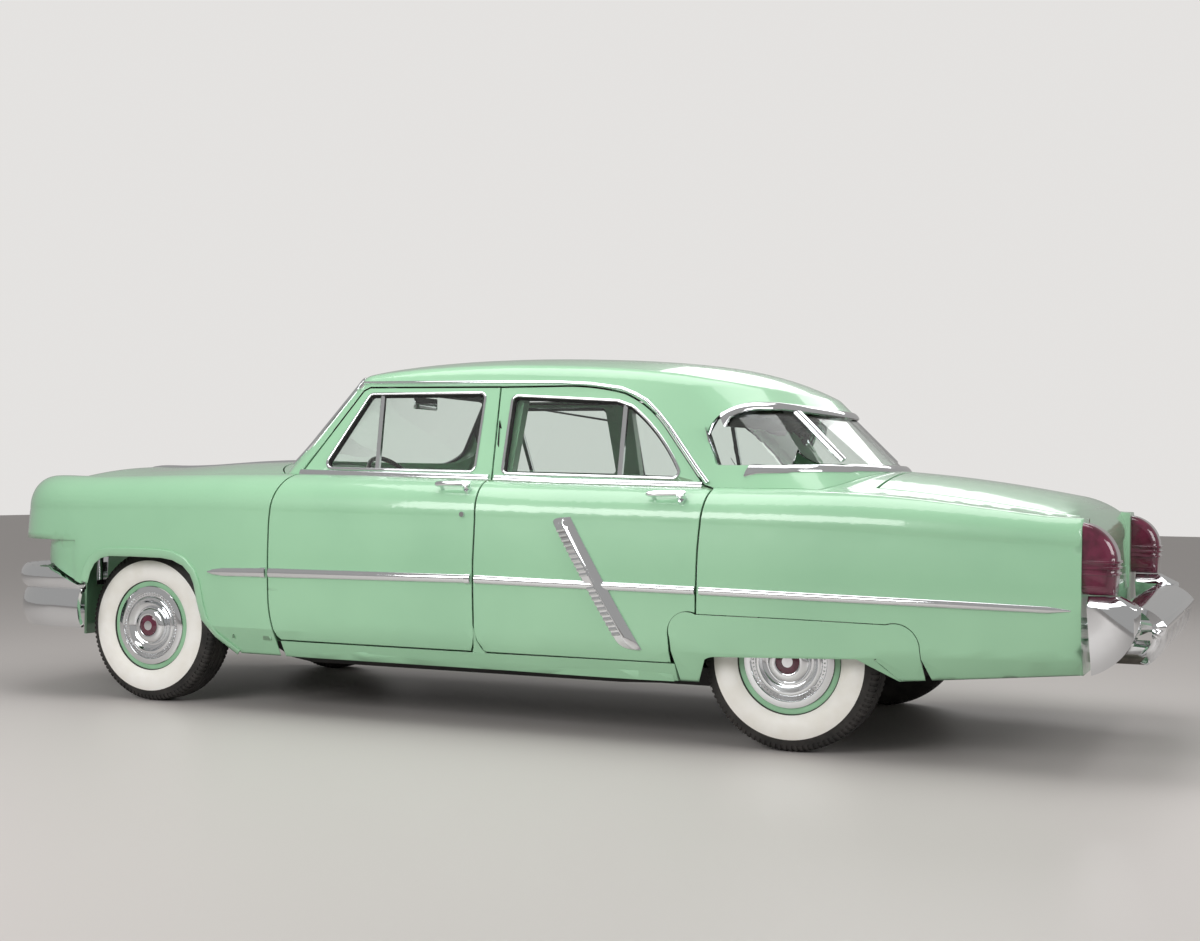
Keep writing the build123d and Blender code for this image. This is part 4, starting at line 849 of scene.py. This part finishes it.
pad_corner, most_swell, swell_steps, cover_voxel = 0.024, 0.022, 20, 0.030
channel_count, channel_depth, channel_half = 16, 0.006, 0.008
pads, halves = [], []
for name, half, outline in (
        ("front_seat_cushion", 0.672, [(-0.462, 0.455), (-0.462, 0.560), (-0.42, 0.588), (-0.05, 0.552),
                                       (0.035, 0.545), (0.03, 0.455)]),
        ("front_seat_back", 0.672, [(-0.035, 0.585), (0.052, 1.035), (0.09, 1.052), (0.128, 1.0),
                                    (0.062, 0.585)]),
        ("rear_seat_cushion", 0.592, [(0.578, 0.515), (0.578, 0.60), (0.625, 0.65), (1.0, 0.622),
                                      (1.03, 0.56)]),
        ("rear_seat_back", 0.592, [(1.03, 0.655), (1.135, 0.995), (1.165, 1.018), (1.195, 1.005),
                                   (1.195, 0.95), (1.115, 0.655)])):
    bm = bmesh.new()
    block(bm, [(x, -half, z) for x, z in outline], (0, 2 * half, 0))
    bmesh.ops.bevel(bm, geom=bm.edges[:], offset=pad_corner, segments=3, profile=0.5, affect="EDGES",
                    material=-1)
    pads.append(finish_mesh(bm, name, "body", seat_cloth, crease=180))
    halves.append(half)
for piece in pads:
    remesh = piece.modifiers.new("remesh", "REMESH")
    remesh.mode = "VOXEL"
    remesh.voxel_size = cover_voxel
settled(*pads)
starts = [[point.co.copy() for point in piece.data.vertices] for piece in pads]
for piece in pads:
    cover = piece.modifiers.new("swell", "CLOTH")
    cover.settings.use_pressure = True
    cover.settings.uniform_pressure_force = 4
    cover.settings.effector_weights.gravity = 0
for step in range(1, swell_steps + 1):
    bpy.context.scene.frame_set(step)
settled(*pads)
bpy.context.scene.frame_set(1)
for piece, start in zip(pads, starts):
    for point, first in zip(piece.data.vertices, start):
        moved = point.co - first
        point.co = first + moved * min(1, most_swell / max(moved.length, 0.0001))
    finer = piece.modifiers.new("finer", "SUBSURF")
    finer.levels = finer.render_levels = 2
settled(*pads)
for piece, half in zip(pads, halves):
    spacing = 2 * half / channel_count
    bm = bmesh.new()
    bm.from_mesh(piece.data)
    for point in bm.verts:
        for face in point.link_faces:
            face.normal_update()
        point.normal_update()
        off = (point.co.y / spacing) % 1 - 0.5
        point.co -= point.normal * channel_depth * math.exp(-(off * spacing / channel_half) ** 2)
    bm.to_mesh(piece.data)
    bm.free()
    piece.data.shade_smooth()
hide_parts("front_seat")
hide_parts("rear_seat")
seat_board, tree, shader, place = new_finish("painted_seat_frame", "#4E5F50", 0.6)
clouded(tree, shader, place, 120, "#48594A", "#556756")
for name, low, high, half in (("front_seat_frame", (-0.45, 0.3305), (0.05, 0.452), 0.66),
                              ("rear_seat_frame", (0.585, 0.3305), (0.81, 0.512), 0.58)):
    bm = bmesh.new()
    box(bm, (low[0], -half, low[1]), (high[0], half, high[1]))
    bmesh.ops.bevel(bm, geom=bm.edges[:], offset=0.008, segments=2, profile=0.5, affect="EDGES", material=-1)
    finish_mesh(bm, name, "body", seat_board)

# Studio: a plain pale painted floor and a pale backdrop, soft lamps overhead, behind and to both sides,
# and a camera at the photo's viewpoint, fitted from the car's own known sizes.
floor_paint, tree, shader, place = new_finish("floor_paint", "#C4BFBC", 0.45)
bm = bmesh.new()
bmesh.ops.create_grid(bm, x_segments=1, y_segments=1, size=30)
floor = finish_mesh(bm, "studio_floor", "body", floor_paint)
floor.parent = None

camera = bpy.data.objects.new("camera", bpy.data.cameras.new("camera"))
bpy.context.scene.collection.objects.link(camera)
bpy.context.scene.camera = camera
camera.data.sensor_width = 36
focal_px, photo_wide_px = 1586.87, 1200
camera.data.lens = camera.data.sensor_width * focal_px / photo_wide_px
eye = Vector((3.1906, -6.7841, 1.0425))
yaw, pitch, roll = 0.4215, 0.0081, 0.0094
ahead = Vector((-math.sin(yaw) * math.cos(pitch), math.cos(yaw) * math.cos(pitch), math.sin(pitch)))
level = Vector((math.cos(yaw), math.sin(yaw), 0))
upright = level.cross(ahead)
across = level * math.cos(roll) + upright * math.sin(roll)
upright = upright * math.cos(roll) - level * math.sin(roll)
camera.matrix_world = Matrix.Translation(eye) @ Matrix((across, upright, -ahead)).transposed().to_4x4()

world = bpy.data.worlds.new("studio")
bpy.context.scene.world = world
world.use_nodes = True
tree = world.node_tree
background = tree.nodes["Background"]
rays = add_node(tree, "ShaderNodeLightPath")
seen = add_node(tree, "ShaderNodeMath", {0: rays.outputs["Is Camera Ray"],
                                         1: rays.outputs["Is Transmission Ray"]}, operation="MAXIMUM")
light = add_node(tree, "ShaderNodeMapRange", {"Value": seen.outputs[0], "To Min": 0.42, "To Max": 0.86})
background.inputs["Color"].default_value = tint("#F4F2F0")
tree.links.new(light.outputs["Result"], background.inputs["Strength"])

for name, spot, size, power, aim in (
        ("ceiling_bank", (0.3, -0.6, 4.6), (6.0, 3.2), 150, (0, 0, 0)),
        ("left_bank", (-1.5, -6.5, 3.2), (4.5, 2.2), 190, (0, 0, 0.7)),
        ("rear_bank", (6.2, -2.0, 2.6), (3.0, 2.0), 90, (1.5, 0, 0.7)),
        ("right_bank", (0.5, 6.0, 4.6), (5.0, 2.2), 70, (0, 0, 0.7))):
    lamp = bpy.data.lights.new(name, "AREA")
    lamp.shape = "RECTANGLE"
    lamp.size, lamp.size_y = size
    lamp.energy = power
    holder = bpy.data.objects.new(name, lamp)
    bpy.context.scene.collection.objects.link(holder)
    way = Vector(aim) - Vector(spot)
    holder.matrix_world = Matrix.Translation(spot) @ way.to_track_quat("-Z", "Y").to_matrix().to_4x4()

bpy.context.scene.view_settings.view_transform = "Standard"
